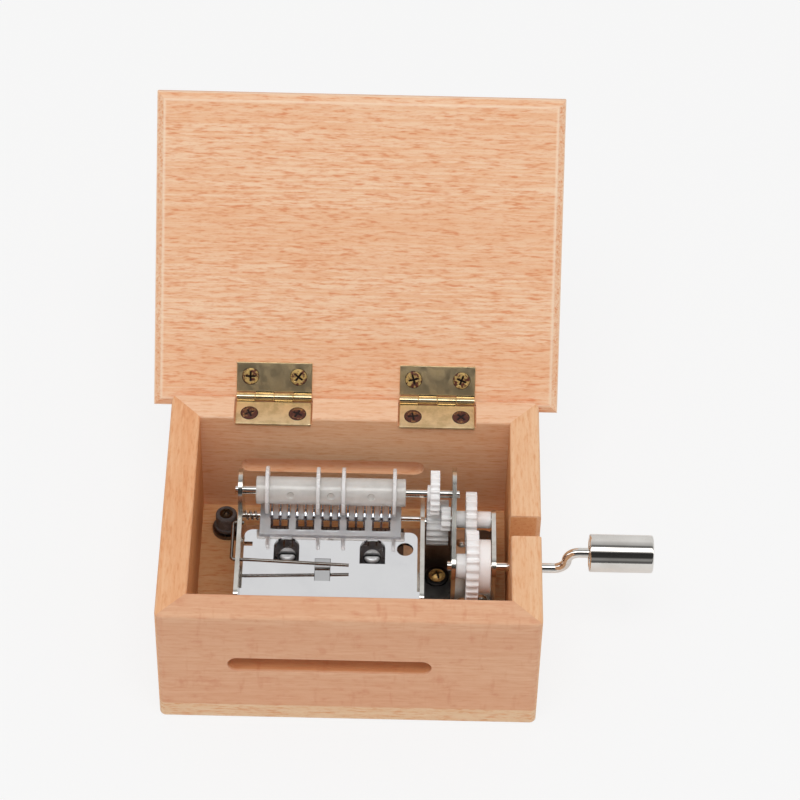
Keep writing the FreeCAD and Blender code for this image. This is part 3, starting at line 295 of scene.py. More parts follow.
FINISH = {
    "beech_lid": beech("beech_of_the_lid", ALONG_X, srgb(248, 210, 176), srgb(239, 182, 139),
                       srgb(223, 136, 88), streaked=1.0, dashed=0.75),
    "beech_front": beech("beech_of_the_front", ALONG_X, srgb(229, 181, 145), srgb(218, 160, 124),
                         srgb(204, 126, 92), streaked=0.7, dashed=0.2, blotched=0.4, rayed=0.35),
    # Painted light: the back wall is paler, and its painted shade inside lighter, against the shadow the lid casts
    # on it
    "beech_back": beech("beech_of_the_back", ALONG_X, srgb(244, 204, 171), srgb(236, 186, 147),
                        srgb(220, 148, 103), bare=LIGHTER_INSIDE_SHADE),
    "beech_left": beech("beech_of_the_left", ALONG_Y, srgb(237, 186, 143), srgb(228, 164, 117),
                        srgb(212, 136, 86)),
    "beech_right": beech("beech_of_the_right", ALONG_Y, srgb(239, 196, 156), srgb(232, 178, 134),
                         srgb(218, 146, 98)),
    "board": beech("pale_board", ALONG_X, srgb(236, 206, 172), srgb(228, 188, 148), srgb(214, 138, 90),
                   streaked=0.8, dashed=0.7),
    "brass": metal("hinge_brass", srgb(240, 216, 172), srgb(214, 190, 144), (0.30, 0.5),
                   smudge=2.5 * MM, scratch=0.012 * MM, polish=0.12),
    "rusty": tarnished("tarnished_screw", srgb(226, 190, 118), srgb(96, 48, 36), srgb(30, 16, 12),
                       spread=(0.45, 0.56)),
    "rusted": tarnished("rusted_screw", srgb(176, 128, 78), srgb(84, 44, 36), srgb(24, 12, 12),
                        spread=(0.28, 0.5)),
    "zinc": tarnished("board_screw_zinc", srgb(226, 184, 112), srgb(150, 98, 50), srgb(26, 18, 12)),
    "pale_steel": tarnished("comb_screw_steel", srgb(252, 252, 252), srgb(222, 222, 222), srgb(16, 16, 16)),
    "nickel": metal("nickel_plate", srgb(222, 219, 212), srgb(196, 193, 186), (0.14, 0.26),
                    brush=(6 * MM, 0.08 * MM, 0.08 * MM), scratch=0.005 * MM),
    # Painted shade: the base plate is dark for the shade and dark reflections under the movement
    "base": metal("blued_base", srgb(112, 110, 109), srgb(84, 83, 83), (0.24, 0.4), scratch=0.01 * MM),
    "mirror": metal("table_nickel", srgb(236, 236, 237), srgb(228, 228, 230), (0.04, 0.09), smudge=14 * MM),
    "bright": metal("bright_steel", srgb(230, 228, 224), srgb(206, 204, 199), (0.08, 0.16)),
    # Painted shade: the comb and its block are darker for the shade under the table
    "comb": metal("comb_steel", srgb(150, 150, 152), srgb(112, 112, 116), (0.25, 0.36),
                  brush=(0.06 * MM, 4 * MM, 0.06 * MM), scratch=0.008 * MM),
    "cast": metal("comb_block_casting", srgb(92, 92, 94), srgb(66, 66, 70), (0.4, 0.55),
                  scratch=0.03 * MM),
    "star": metal("star_steel", srgb(226, 229, 234), srgb(196, 200, 208), (0.14, 0.24)),
    "chrome": metal("crank_chrome", srgb(230, 227, 222), srgb(214, 210, 204), (0.04, 0.10), smudge=9 * MM),
    # Painted shade: the hold-down wire's steel is darker, standing in for the dark it reflects
    "wire": metal("spring_wire", srgb(150, 146, 140), srgb(118, 114, 108), (0.12, 0.22)),
    "black": metal("blackened_washer", srgb(76, 74, 72), srgb(52, 50, 50), (0.25, 0.4)),
    "milky": plastic("milky_roller", srgb(246, 244, 240), srgb(234, 232, 228), 0.08, clear=0.36, milk=0.35),
    "disc": plastic("pale_disc", srgb(253, 253, 253), srgb(248, 248, 249), 0.2, clear=0.2, milk=0.6),
    "white": plastic("white_plastic", srgb(255, 255, 255), srgb(252, 252, 252), 0.30, milk=0.25),
    "clear": plastic("clear_guide", srgb(247, 248, 250), srgb(239, 241, 244), 0.10, clear=0.62, milk=0.0),
    "rubber": rubber("grey_rubber", srgb(88, 88, 89), srgb(120, 120, 120)),
}

SLOT_FINISH = {
    "beech": "beech_front", "beech_board": "board", "hinge_brass": "brass", "hinge_screws": "rusty",
    "nickel_plate": "nickel", "table_nickel": "mirror", "bright_steel": "bright", "comb_steel": "comb",
    "comb_block": "cast", "star_steel": "star", "milky_plastic": "milky", "white_plastic": "white",
    "grey_plastic": "white", "crank_chrome": "chrome", "black_rubber": "rubber", "dark_washer": "black",
    "board_screws": "zinc",
}
OWN_FINISH = {
    "lid_board": "beech_lid", "left_wall": "beech_left", "right_wall": "beech_right",
    "back_wall": "beech_back", "hinge_box_screws": "rusted", "movement_base": "base",
    "feed_discs": "disc", "comb_screws": "pale_steel", "paper_guide": "clear", "hold_down_wire": "wire",
}
NODE_SLOT = {part["node"]: part["material_slot"] for part in frame["record"]["subparts"]}
NODE_BODY = {node: body for body, nodes in frame["record"]["behaviour"]["bodies"].items() for node in nodes}


def node_finish(node):
    """Finish of a node: its own, or the one of its material slot."""
    return FINISH[OWN_FINISH.get(node, SLOT_FINISH[NODE_SLOT[node]])]


def dress_nodes():
    """Give every CAD node its finish."""
    for name, shown in frame["nodes"].items():
        shown.data.materials.clear()
        shown.data.materials.append(node_finish(name))


# Meshes
def grid_faces(rows, columns, close_rows=False):
    """Quads of a grid of points whose columns close into a ring; its rows may close too."""
    row = np.arange(rows if close_rows else rows - 1)[:, None]
    column = np.arange(columns)[None, :]
    next_row = (row + 1) % rows
    next_column = (column + 1) % columns
    corners = (row * columns + column, row * columns + next_column,
               next_row * columns + next_column, next_row * columns + column)
    return np.stack(np.broadcast_arrays(*corners), -1).reshape(-1, 4)


def piece(name, surfaces, node, crease=32, marks=None):
    """Join surfaces into one mesh that stands for a CAD node and rides on its body.

    Marks, where given, is one value for each point."""
    points = np.concatenate([found for found, faces in surfaces])
    starts = np.cumsum([0] + [len(found) for found, faces in surfaces[:-1]])
    quads = np.concatenate([faces + start for (found, faces), start in zip(surfaces, starts)])
    mesh = bpy.data.meshes.new(name)
    mesh.from_pydata(points.tolist(), [], quads.tolist())
    if marks is not None:
        mesh.attributes.new("marks", "FLOAT", "POINT").data.foreach_set("value", marks)
    work = bmesh.new()
    work.from_mesh(mesh)
    bmesh.ops.remove_doubles(work, verts=work.verts, dist=WELD)
    bmesh.ops.recalc_face_normals(work, faces=work.faces)
    work.to_mesh(mesh)
    work.free()
    mesh.polygons.foreach_set("use_smooth", np.ones(len(mesh.polygons), bool))
    mesh.set_sharp_from_angle(angle=math.radians(crease))
    mesh.materials.append(node_finish(node))
    made = bpy.data.objects.new(name, mesh)
    bpy.context.scene.collection.objects.link(made)
    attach(made, NODE_BODY[node])
    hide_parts(node)
    return made


def around(steps):
    """Even angles of one full turn."""
    return np.linspace(0, 2 * np.pi, steps, endpoint=False)


def softened(corners, radius, steps=4):
    """Profile with each inner corner replaced by a curve that leaves and joins its runs a radius away.

    The curve is (1-t)^2 of the first point plus 2t(1-t) of the corner plus t^2 of the last point. On a
    short run it starts nearer to the corner, so that the curves at both ends of the run don't meet."""
    corners = np.array(corners, float)
    most = 0.45
    t = np.linspace(0, 1, steps + 1)[:, None]
    rows = [corners[:1]]
    for before, corner, after in zip(corners, corners[1:], corners[2:]):
        back = before - corner
        onward = after - corner
        reach = min(radius, most * np.linalg.norm(back), most * np.linalg.norm(onward))
        first = corner + back / np.linalg.norm(back) * reach
        last = corner + onward / np.linalg.norm(onward) * reach
        rows.append((1 - t) ** 2 * first + 2 * t * (1 - t) * corner + t ** 2 * last)
    rows.append(corners[-1:])
    return np.concatenate(rows)


def turned(profile, centre, axis="X", steps=ROUND_STEPS, closed=False):
    """Turned surface: a profile of (distance along the axis, radius) carried round the axis."""
    along = profile[:, 0, None]
    radius = profile[:, 1, None]
    angle = around(steps)[None, :]
    side = radius * np.cos(angle)
    rise = radius * np.sin(angle)
    along = np.broadcast_to(along, side.shape)
    order = {"X": (along, side, rise), "Z": (side, rise, along)}[axis]
    points = np.stack(order, -1).reshape(-1, 3) + np.array(centre)
    return points, grid_faces(len(profile), steps, close_rows=closed)


def ring(start, end, bore, radius, centre, soft, axis="X", steps=ROUND_STEPS, curve=4):
    """Closed ring between two places on an axis, with softened rims."""
    corners = [(start, bore), (start, radius), (end, radius), (end, bore)]
    return turned(softened(corners, soft, curve), centre, axis, steps, closed=True)


def node_axis(node):
    """Centre line (y, z), radius and X range of a node that is round about X."""
    low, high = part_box(node)
    return (low.y + high.y) / 2, (low.z + high.z) / 2, (high.z - low.z) / 2, low.x, high.x


def node_points(node):
    """Points of a CAD node's mesh."""
    shown = frame["nodes"][node].data
    points = np.empty(len(shown.vertices) * 3)
    shown.vertices.foreach_get("co", points)
    return points.reshape(-1, 3)


def straight_rods():
    """Round rods with softened ends."""
    for node in ("roller_shaft", "tie_rod", "star_axle", "lay_shaft"):
        y, z, radius, x0, x1 = node_axis(node)
        end_soft = 0.25 * radius
        profile = softened([(x0, 0), (x0, radius), (x1, radius), (x1, 0)], end_soft)
        piece(node + "_round", [turned(profile, (0, y, z), steps=ROD_STEPS)], node)


# Crank
def crank_knob():
    """Turned knob: softened rims, a shallow cup on the inner face and a bore for the rod."""
    y, z, radius, x0, x1 = node_axis("crank_knob")
    rim = 0.55 * MM
    bore = 1.2 * MM
    bore_end = x1 - 3 * MM
    cup = 3.3 * MM
    cup_floor = x0 + 0.8 * MM
    corners = [(bore_end, 0), (bore_end, bore), (cup_floor, bore), (cup_floor, cup), (x0, cup),
               (x0, radius), (x1, radius), (x1, 0)]
    return piece("knob", [turned(softened(corners, rim, 6), (0, y, z), steps=160)], "crank_knob")


def crank_rod():
    """Round section carried along two straight runs and two quarter bends."""
    bend_to_knob = 7.9 * MM
    bend_steps = 24
    low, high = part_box("crank_rod")
    radius = (high.y - low.y) / 2
    rise = high.z - low.z - 2 * radius
    bend = rise / 2
    y = (low.y + high.y) / 2
    z = low.z + radius
    bend_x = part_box("crank_knob")[0].x - bend_to_knob
    turn = np.linspace(0, np.pi / 2, bend_steps)
    first = np.stack([bend_x + bend * np.sin(turn), z + bend * (1 - np.cos(turn)), turn], -1)
    turn = turn[::-1]
    second = np.stack([bend_x + 2 * bend - bend * np.sin(turn), z + rise - bend * (1 - np.cos(turn)),
                       turn], -1)
    path = np.concatenate([[[low.x, z, 0]], first, second[1:], [[high.x, z + rise, 0]]])
    angle = around(ROD_STEPS)
    heading = path[:, 2, None]
    off = radius * np.cos(angle)[None, :]
    points = np.stack([path[:, 0, None] - off * np.sin(heading),
                       np.broadcast_to(y + radius * np.sin(angle), (len(path), len(angle))),
                       path[:, 1, None] + off * np.cos(heading)], -1)
    start = np.broadcast_to(np.array([low.x, y, z]), (1, len(angle), 3))
    end = np.broadcast_to(np.array([high.x, y, z + rise]), (1, len(angle), 3))
    points = np.concatenate([start, points, end])
    return piece("crank", [(points.reshape(-1, 3), grid_faces(len(points), len(angle)))], "crank_rod")


# Feed roller
ROLLER_BORE = 1.02 * MM
DIMPLE_PLACES = (-9.5 * MM, 0.0, 9.5 * MM)
DISC_PLACES = (-15 * MM, -3 * MM, 3 * MM, 15 * MM)


def feed_roller():
    """Roller with three shallow dimples: the radius drops by a smooth bowl near each dimple's centre.

    The bowl is 3b^2 - 2b^3, where b rises from 0 at the dimple's edge to 1 across a narrow band."""
    y, z, radius, x0, x1 = node_axis("feed_roller")
    middle = JOINTS["roller_turn"]["pos_m"][0]
    edge = 0.3 * MM
    dimple_r = 0.9 * MM
    dimple_d = 0.55 * MM
    band = 0.25 * MM
    bare = 0.01 * MM
    towards = math.pi - math.radians(26)
    length_steps = 260
    round_steps = 180
    xs = np.linspace(x0 + edge, x1 - edge, length_steps)
    head = softened([(x0, ROLLER_BORE), (x0, radius), (x0 + 2 * edge, radius)], edge)[:-1]
    tail = (np.array([x0 + x1, 0]) + head * [-1, 1])[::-1]
    profile = np.concatenate([head, np.stack([xs, np.full_like(xs, radius)], -1), tail])
    angle = around(round_steps)
    grid_r = np.repeat(profile[:, 1, None], len(angle), 1)
    across = (angle[None, :] - towards + np.pi) % (2 * np.pi) - np.pi
    for place in DIMPLE_PLACES:
        distance = np.hypot(profile[:, 0, None] - middle - place, across * radius)
        bowl = np.clip((dimple_r - distance) / band, 0, 1)
        outer = grid_r > radius - bare
        grid_r = grid_r - outer * dimple_d * bowl * bowl * (3 - 2 * bowl)
    points = np.stack([np.broadcast_to(profile[:, 0, None], grid_r.shape), y + grid_r * np.cos(angle),
                       z + grid_r * np.sin(angle)], -1).reshape(-1, 3)
    surface = (points, grid_faces(len(profile), len(angle), close_rows=True))
    return piece("roller_tube", [surface], "feed_roller")


def feed_discs():
    """Four thin rings with rounded rims, a little clear of the roller."""
    y, z, radius = node_axis("feed_discs")[:3]
    middle = JOINTS["roller_turn"]["pos_m"][0]
    half = 0.45 * MM
    rim = 0.3 * MM
    clear = 0.02 * MM
    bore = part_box("feed_roller")[1].z - z + clear
    rings = [ring(middle + place - half, middle + place + half, bore, radius, (0, y, z), rim, curve=5)
             for place in DISC_PLACES]
    return piece("feed_rings", rings, "feed_discs")


# Gears and star wheels
FEED_MODULE = 0.5 * MM
FEED_TEETH = 20
PINION_TEETH = 10
DRIVE_MODULE = 0.6 * MM
DRIVEN_TEETH = 20
CRANK_TEETH = 26
PRESSURE_ANGLE = math.radians(20)
BACKLASH = 0.04 * MM
DEDENDUM = 1.25
HUB_R = 2.0 * MM
HUB_EDGE = 0.25 * MM
IDLER_BORE = 0.95 * MM
LAY_BORE = 0.92 * MM
CRANK_BORE = 1.17 * MM
STAR_BORE = 0.65 * MM


def tooth_phase(node, teeth, centre, x0, x1):
    """Angle of a tooth and radius of its tip, read from a node's outermost points between two X places."""
    tip_depth = 0.02 * MM
    points = node_points(node)
    y = points[:, 1] - centre[0]
    z = points[:, 2] - centre[1]
    radius = np.hypot(y, z)
    inside = (points[:, 0] > x0 - RIM) & (points[:, 0] < x1 + RIM)
    tips = inside & (radius > radius[inside].max() - tip_depth)
    turns = np.exp(1j * teeth * np.arctan2(z[tips], y[tips]))
    return np.angle(turns.sum()) / teeth, radius[inside].max()


def toothed_rim(teeth, phase, pitch_r, tip_r, root_r):
    """Angles and radii of a gear's outline.

    Off a tooth's middle the flank falls at the pressure angle, cut off at the tip and the root."""
    share = (np.arange(teeth * TOOTH_STEPS) + 0.5) / TOOTH_STEPS
    off = np.abs((share + 0.5) % 1 - 0.5) * 2 * np.pi / teeth
    half = np.pi / 2 / teeth - BACKLASH / pitch_r
    radius = pitch_r + (half - off) * pitch_r / math.tan(PRESSURE_ANGLE)
    return share * 2 * np.pi / teeth + phase, np.clip(radius, root_r, tip_r)


def rimmed_wheel(angle, radius, bore, x0, x1, centre, rim=RIM):
    """Closed wheel: bore, face, softened edge, rim, softened edge and face, carried round an outline."""
    bend = rim * 0.3
    xs = np.array([x0, x0, x0 + bend, x0 + rim, x1 - rim, x1 - bend, x1, x1])
    cut = np.array([0, rim, bend, 0, 0, bend, rim, 0])
    inner = np.array([1, 0, 0, 0, 0, 0, 0, 1])[:, None]
    reach = np.where(inner, bore, radius[None, :] - cut[:, None])
    points = np.stack([np.broadcast_to(xs[:, None], reach.shape), centre[0] + reach * np.cos(angle),
                       centre[1] + reach * np.sin(angle)], -1)
    return points.reshape(-1, 3), grid_faces(len(xs), len(angle), close_rows=True)


def spur_gear(node, name, joint, teeth, module, x0, x1, bore, collars=()):
    """Toothed wheel and its plain collars, each collar (x0, x1, radius)."""
    centre = JOINTS[joint]["pos_m"][1:]
    phase, tip_r = tooth_phase(node, teeth, centre, x0, x1)
    pitch_r = module * teeth / 2
    angle, radius = toothed_rim(teeth, phase, pitch_r, tip_r, pitch_r - DEDENDUM * module)
    surfaces = [rimmed_wheel(angle, radius, bore, x0, x1, centre)]
    surfaces += [ring(start, end, bore, collar_r, (0, *centre), HUB_EDGE)
                 for start, end, collar_r in collars]
    return piece(name, surfaces, node, crease=28)


def gear_train():
    """Gears of the drive, at the places their nodes give; a collar sinks into its wheel by the rim."""
    roller_width = 2.2 * MM
    driven_hub = 2.2 * MM
    driven_width = 2.6 * MM
    crank_hub = 2.3 * MM
    crank_hub_r = 2.9 * MM
    crank_width = 2.9 * MM
    drum_r = 6.3 * MM
    low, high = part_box("roller_gear")
    face = high.x - roller_width
    spur_gear("roller_gear", "roller_wheel", "roller_turn", FEED_TEETH, FEED_MODULE, face, high.x,
              ROLLER_BORE, [(low.x, face + RIM, HUB_R)])
    low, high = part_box("idler_gear")
    spur_gear("idler_gear", "idler_wheel", "idler_turn", FEED_TEETH, FEED_MODULE, low.x, high.x, IDLER_BORE)
    low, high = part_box("lay_pinion")
    spur_gear("lay_pinion", "pinion_wheel", "lay_turn", PINION_TEETH, FEED_MODULE, low.x, high.x, LAY_BORE)
    low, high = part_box("lay_gear")
    face = low.x + driven_hub
    end = face + driven_width
    spur_gear("lay_gear", "driven_wheel", "lay_turn", DRIVEN_TEETH, DRIVE_MODULE, face, end, LAY_BORE,
              [(low.x, face + RIM, HUB_R), (end - RIM, high.x, HUB_R)])
    low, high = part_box("crank_gear")
    face = low.x + crank_hub
    end = face + crank_width
    spur_gear("crank_gear", "crank_wheel", "crank_turn", CRANK_TEETH, DRIVE_MODULE, face, end, CRANK_BORE,
              [(low.x, face + RIM, crank_hub_r), (end - RIM, high.x, drum_r)])


def star_wheels():
    """Star wheels: slim prongs with a flat between each two, and a hub that fills the note pitch.

    One prong's outline is foot, tip and foot; the flat leans forward by the difference of the two feet."""
    points = 8
    tip_r = 3.0 * MM
    front_foot_r = 1.96 * MM
    rear_foot_r = 1.84 * MM
    foot_off = 9.6
    tip_off = 3.4
    half = 0.25 * MM
    edge = 0.06 * MM
    hub_r = 0.95 * MM
    off = np.radians([-foot_off, -tip_off, 0, tip_off, foot_off])
    reach = np.array([rear_foot_r, tip_r, tip_r, tip_r, front_foot_r])
    prong = np.arange(points)[:, None] * 2 * np.pi / points + np.pi / 2
    angle = (prong + off).ravel()
    radius = np.tile(reach, points)
    for node in sorted(name for name in frame["nodes"] if name.startswith("star_wheel")):
        x, y, z = JOINTS[node + "_turn"]["pos_m"]
        low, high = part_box(node)
        wheel = rimmed_wheel(angle, radius, STAR_BORE, x - half, x + half, (y, z), edge)
        hub = ring(low.x, high.x, STAR_BORE, hub_r, (0, y, z), RIM, steps=32)
        piece(node.replace("wheel", "point"), [wheel, hub], node)


# Paper guide
def cell_plate(xs, ys, filled, z0, z1):
    """Flat plate on a grid of unequal cells.

    Each filled cell has a top and a bottom, and a wall stands where a filled cell meets an open one."""
    count = (len(xs), len(ys), 2)
    points = np.stack(np.meshgrid(xs, ys, [z0, z1], indexing="ij"), -1).reshape(-1, 3)
    number = np.arange(len(points)).reshape(count)
    column, row = np.nonzero(filled)
    loop = [(column, row), (column + 1, row), (column + 1, row + 1), (column, row + 1)]
    faces = [np.stack([number[i, j, level] for i, j in loop], -1) for level in (0, 1)]
    padded = np.pad(filled, 1)
    line, row = np.nonzero(padded[1:, 1:-1] != padded[:-1, 1:-1])
    faces.append(np.stack([number[line, row, 0], number[line, row + 1, 0], number[line, row + 1, 1],
                           number[line, row, 1]], -1))
    column, line = np.nonzero(padded[1:-1, 1:] != padded[1:-1, :-1])
    faces.append(np.stack([number[column, line, 0], number[column + 1, line, 0],
                           number[column + 1, line, 1], number[column, line, 1]], -1))
    used, faces = np.unique(np.concatenate(faces), return_inverse=True)
    return points[used], faces.reshape(-1, 4)


def rectangle_outline(front, back, bottom, top, steps=48):
    """Angles and radii of a rectangle seen from a point in it, with its corners among the angles.

    The radius is the distance to the nearer of the two sides that a direction runs towards."""
    tiny = 1e-6
    corner_gap = 0.05

    def reach(share, far, near):
        return np.abs(np.where(share > 0, far, near) / np.where(np.abs(share) < tiny, tiny, share))

    corners = np.arctan2([top, top, bottom, bottom], [back, front, front, back])
    turns = np.linspace(-np.pi, np.pi, steps, endpoint=False)
    turns = turns[np.abs(turns[:, None] - corners).min(1) > corner_gap]
    angle = np.sort(np.concatenate([turns, corners]))
    return angle, np.minimum(reach(np.cos(angle), back, front), reach(np.sin(angle), top, bottom))


def paper_guide():
    """Moulded guide: a bar in front, five windows, a slot over each star wheel and two cheeks on the axle."""
    thick = 0.6 * MM
    bar = 1.6 * MM
    window = 3.45 * MM
    rear = 0.8 * MM
    window_half = 2.15 * MM
    slot_half = 0.425 * MM
    cheek = 1.2 * MM
    cheek_sinks = 0.3 * MM
    low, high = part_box("paper_guide")
    stars = np.array([JOINTS[name]["pos_m"] for name in sorted(JOINTS) if name.startswith("star_wheel")])
    axle = stars[0, 1:]
    floor = high.z - thick
    windows_y = low.y + bar
    slots_y = windows_y + window
    rear_y = high.y - rear
    openings = [(stars[1::3, 0], window_half, windows_y, slots_y), (stars[:, 0], slot_half, slots_y, rear_y)]
    edges = [np.concatenate([middles - half, middles + half]) for middles, half, start, end in openings]
    xs = np.unique(np.round(np.concatenate([[low.x, high.x], *edges]), 6))
    ys = np.array([low.y, windows_y, slots_y, rear_y, high.y])
    x = (xs[1:] + xs[:-1])[:, None] / 2
    y = (ys[1:] + ys[:-1])[None, :] / 2
    filled = np.ones((len(xs) - 1, len(ys) - 1), bool)
    for middles, half, start, end in openings:
        across = np.abs(x[..., None] - middles).min(-1) < half
        filled &= ~(across & (y > start) & (y < end))
    plate = cell_plate(xs, ys, filled, floor, high.z)
    angle, radius = rectangle_outline(slots_y - axle[0], high.y - axle[0], low.z - axle[1],
                                      floor + cheek_sinks - axle[1])
    cheeks = [rimmed_wheel(angle, radius, STAR_BORE, start, start + cheek, axle, 0.0)
              for start in (low.x, high.x - cheek)]
    made = piece("guide", [plate, *cheeks], "paper_guide")
    softer = made.modifiers.new("moulded_edges", "BEVEL")
    softer.width = RIM
    softer.segments = 2
    softer.limit_method = "ANGLE"
    return made


def axle_spring():
    """Round wire wound on the star axle: a circle carried along a helix, with a flat end at each side."""
    y, z, reach, x0, x1 = node_axis("axle_spring")
    wire = 0.26 * MM
    turns = 3
    wire_steps = 16
    turn = np.linspace(0, 2 * np.pi * turns, ROD_STEPS * turns)[:, None]
    angle = around(wire_steps)[None, :]
    radius = reach - wire + wire * np.cos(angle)
    along = x0 + wire + (x1 - x0 - 2 * wire) * turn / turn.max() + wire * np.sin(angle)
    points = np.stack([along, y + radius * np.cos(turn), z + radius * np.sin(turn)], -1)
    start, end = [points[[row]].mean(1, keepdims=True).repeat(wire_steps, 1) for row in (0, -1)]
    points = np.concatenate([start, points, end])
    return piece("coil", [(points.reshape(-1, 3), grid_faces(len(points), wire_steps))], "axle_spring")


# Screws, bush and washer
UP = (0, 0, 1)
DOWN = (0, 0, -1)
SHANK_R = 1.2 * MM
FIXING_BORE = 1.25 * MM
SKIRT = 0.1 * MM
HEAD_STEPS = 128
# Recesses and the painted shadow round rims, as shares of a head's radius
RECESS_RINGS = np.linspace(0, 0.72, 40)
OUTER_RINGS = np.linspace(0.75, 1, 12)
RIM_SHADOW_FROM = 0.88
RIM_SHADOW_FADE = 0.1
ARM_HALF = 0.15
ARM_REACH = 0.68
SLOT_HALF = 0.27
SIDE_FADE = 0.06
END_FADE = 0.16


def as_built(points):
    """Points where they are."""
    return points


def top_of(node):
    """Middle of a node's top."""
    low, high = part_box(node)
    return (low.x + high.x) / 2, (low.y + high.y) / 2, high.z


def fading(distance, reach, fade):
    """Share that falls from 1 to 0 across a fade that ends at a reach."""
    return np.clip((reach - np.abs(distance)) / fade, 0, 1)


def cross(across, along):
    """Cross recess: two narrow arms, each fading out towards its ends."""
    def arm(width, length):
        return fading(width, ARM_HALF, SIDE_FADE) * fading(length, ARM_REACH, END_FADE)

    return np.maximum(arm(across, along), arm(along, across))


def slot(across, along):
    """Straight slot right across a head."""
    return fading(along, SLOT_HALF, SIDE_FADE)


def recessed_head(centre, up, side, head_r, head_h, depth, shank_r, shank_l, recess=cross, dome=2,
                  head_darkening=0.0):
    """Screw with a recess in its head, on a polar grid, and the darkening and painted shadow that mark each of its
    points.

    Height is head_h times (1 - share^dome) less the recess's depth; share runs from 0 to 1 at the rim."""
    least = 0.05 * head_h
    share = np.concatenate([RECESS_RINGS, OUTER_RINGS])[:, None]
    angle = around(HEAD_STEPS)[None, :]
    across = share * np.cos(angle)
    along = share * np.sin(angle)
    cut = recess(across, along)
    height = head_h * (1 - share ** dome)
    height = np.maximum(height - depth * cut, np.minimum(height, least))
    centre, up, side = [np.array(vector, float) for vector in (centre, up, side)]
    out = across[..., None] * side + along[..., None] * np.cross(up, side)
    points = centre + height[..., None] * up + head_r * out
    rim = out[-1:]
    skirt = points[-1:] - SKIRT * up
    under = skirt + (shank_r - head_r) * rim
    end = under - (shank_l - SKIRT) * up
    points = np.concatenate([points, skirt, under, end, end - shank_r * rim])
    # Painted shadow: a dark ring round the rim of the head
    rim_shadow = np.clip((share - RIM_SHADOW_FROM) / RIM_SHADOW_FADE, 0, 1)
    # Darker in the recess, the painted shadow round the rim, and the head darkened evenly where given
    darkening_and_shadow = np.maximum(np.maximum(cut, rim_shadow), head_darkening)
    darkening_and_shadow = np.concatenate([darkening_and_shadow, np.ones((4, HEAD_STEPS))])
    return (points.reshape(-1, 3), grid_faces(len(points), HEAD_STEPS)), darkening_and_shadow.ravel()


def screw_heads(name, node, heads, place=as_built):
    """Recessed heads of one node, put in place together."""
    made = [recessed_head(**head) for head in heads]
    surfaces = [(place(points), faces) for (points, faces), darkening_and_shadow in made]
    return piece(name, surfaces, node, crease=60, marks=np.concatenate([darkening_and_shadow for surface, darkening_and_shadow in made]))


def crossways(degrees):
    """Unit vector across a screw, for the turn its recess came to rest at."""
    return math.cos(math.radians(degrees)), math.sin(math.radians(degrees)), 0


def board_screws():
    """Screw on its washer, and the darkened one that holds the rubber bush."""
    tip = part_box("board_screws")[0].z
    washer = top_of("board_washer")
    bush = top_of("rubber_bush")
    heads = [dict(centre=washer, up=UP, side=crossways(20), head_r=2.1 * MM, head_h=1.2 * MM,
                  depth=0.7 * MM, shank_r=SHANK_R, shank_l=washer[2] - tip),
             dict(centre=bush, up=UP, side=crossways(50), head_r=1.6 * MM, head_h=0.9 * MM,
                  depth=0.25 * MM, shank_r=SHANK_R, shank_l=bush[2] - tip, head_darkening=0.93)]
    return screw_heads("board_screw_heads", "board_screws", heads)


def comb_screws():
    """Two cheese heads with a straight slot, on the comb."""
    low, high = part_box("comb_screws")
    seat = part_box("comb")[1].z
    head_r = (high.y - low.y) / 2
    heads = [dict(centre=(x, low.y + head_r, seat), up=UP, side=(1, 0, 0), head_r=head_r,
                  head_h=high.z - seat, depth=0.8 * MM, shank_r=SHANK_R, shank_l=seat - low.z,
                  recess=slot, dome=10)
             for x in (low.x + head_r, high.x - head_r)]
    return screw_heads("comb_screw_heads", "comb_screws", heads)


def turned_fixings():
    """Rubber bush with a lip at its foot, and the flat washer."""
    low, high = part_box("rubber_bush")
    x, y, top = top_of("rubber_bush")
    bush_edge = 0.8 * MM
    washer_edge = 0.15 * MM
    lip = (high.x - low.x) / 2
    lip_top = low.z + 1.2 * MM
    body = lip - 0.35 * MM
    corners = [(low.z, FIXING_BORE), (low.z, lip), (lip_top, lip), (lip_top, body), (top, body),
               (top, FIXING_BORE)]
    piece("bush", [turned(softened(corners, bush_edge, 6), (x, y, 0), "Z", closed=True)], "rubber_bush")
    low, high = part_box("board_washer")
    x, y, top = top_of("board_washer")
    washer = ring(low.z, top, FIXING_BORE, (high.x - low.x) / 2, (x, y, 0), washer_edge, "Z")
    piece("washer", [washer], "board_washer")


# Lid and hinges
LID_CHAMFER = 1.8 * MM
LID_SOFT = 0.3 * MM
LID_SWING = math.radians(JOINTS["lid_hinge"]["range_deg"][1])
PIN_Y, PIN_Z = JOINTS["lid_hinge"]["pos_m"][1:]
PIN_R = 0.55 * MM
LEAF = 0.7 * MM
KNUCKLES = 4
SCREW_OFF_MIDDLE = 5.7 * MM
SCREW_OFF_PIN = 4.9 * MM
HINGE_SCREW = dict(head_r=2.1 * MM, head_h=0.25 * MM, depth=0.2 * MM, shank_r=0.9 * MM, shank_l=6 * MM)
CORNER_SIGNS = np.array([[1, 1], [-1, 1], [-1, -1], [1, -1]])


def swung(points, turn):
    """Points turned about the hinge pins."""
    dy = points[:, 1] - PIN_Y
    dz = points[:, 2] - PIN_Z
    return np.stack([points[:, 0], PIN_Y + dy * math.cos(turn) - dz * math.sin(turn),
                     PIN_Z + dy * math.sin(turn) + dz * math.cos(turn)], -1)


def opened(points):
    """Points of the closed lid turned to the rest place, where the lid lies on its stop."""
    return swung(points, -LID_SWING)


def closed_box(node):
    """Box of a lid node turned back to the closed place."""
    points = swung(node_points(node), LID_SWING)
    return points.min(0), points.max(0)


def stacked(flat, height):
    """Points of flat rings, each ring at its own height."""
    level = np.broadcast_to(height[:, None, None], (*flat.shape[:2], 1))
    return np.concatenate([flat, level], -1).reshape(-1, 3)


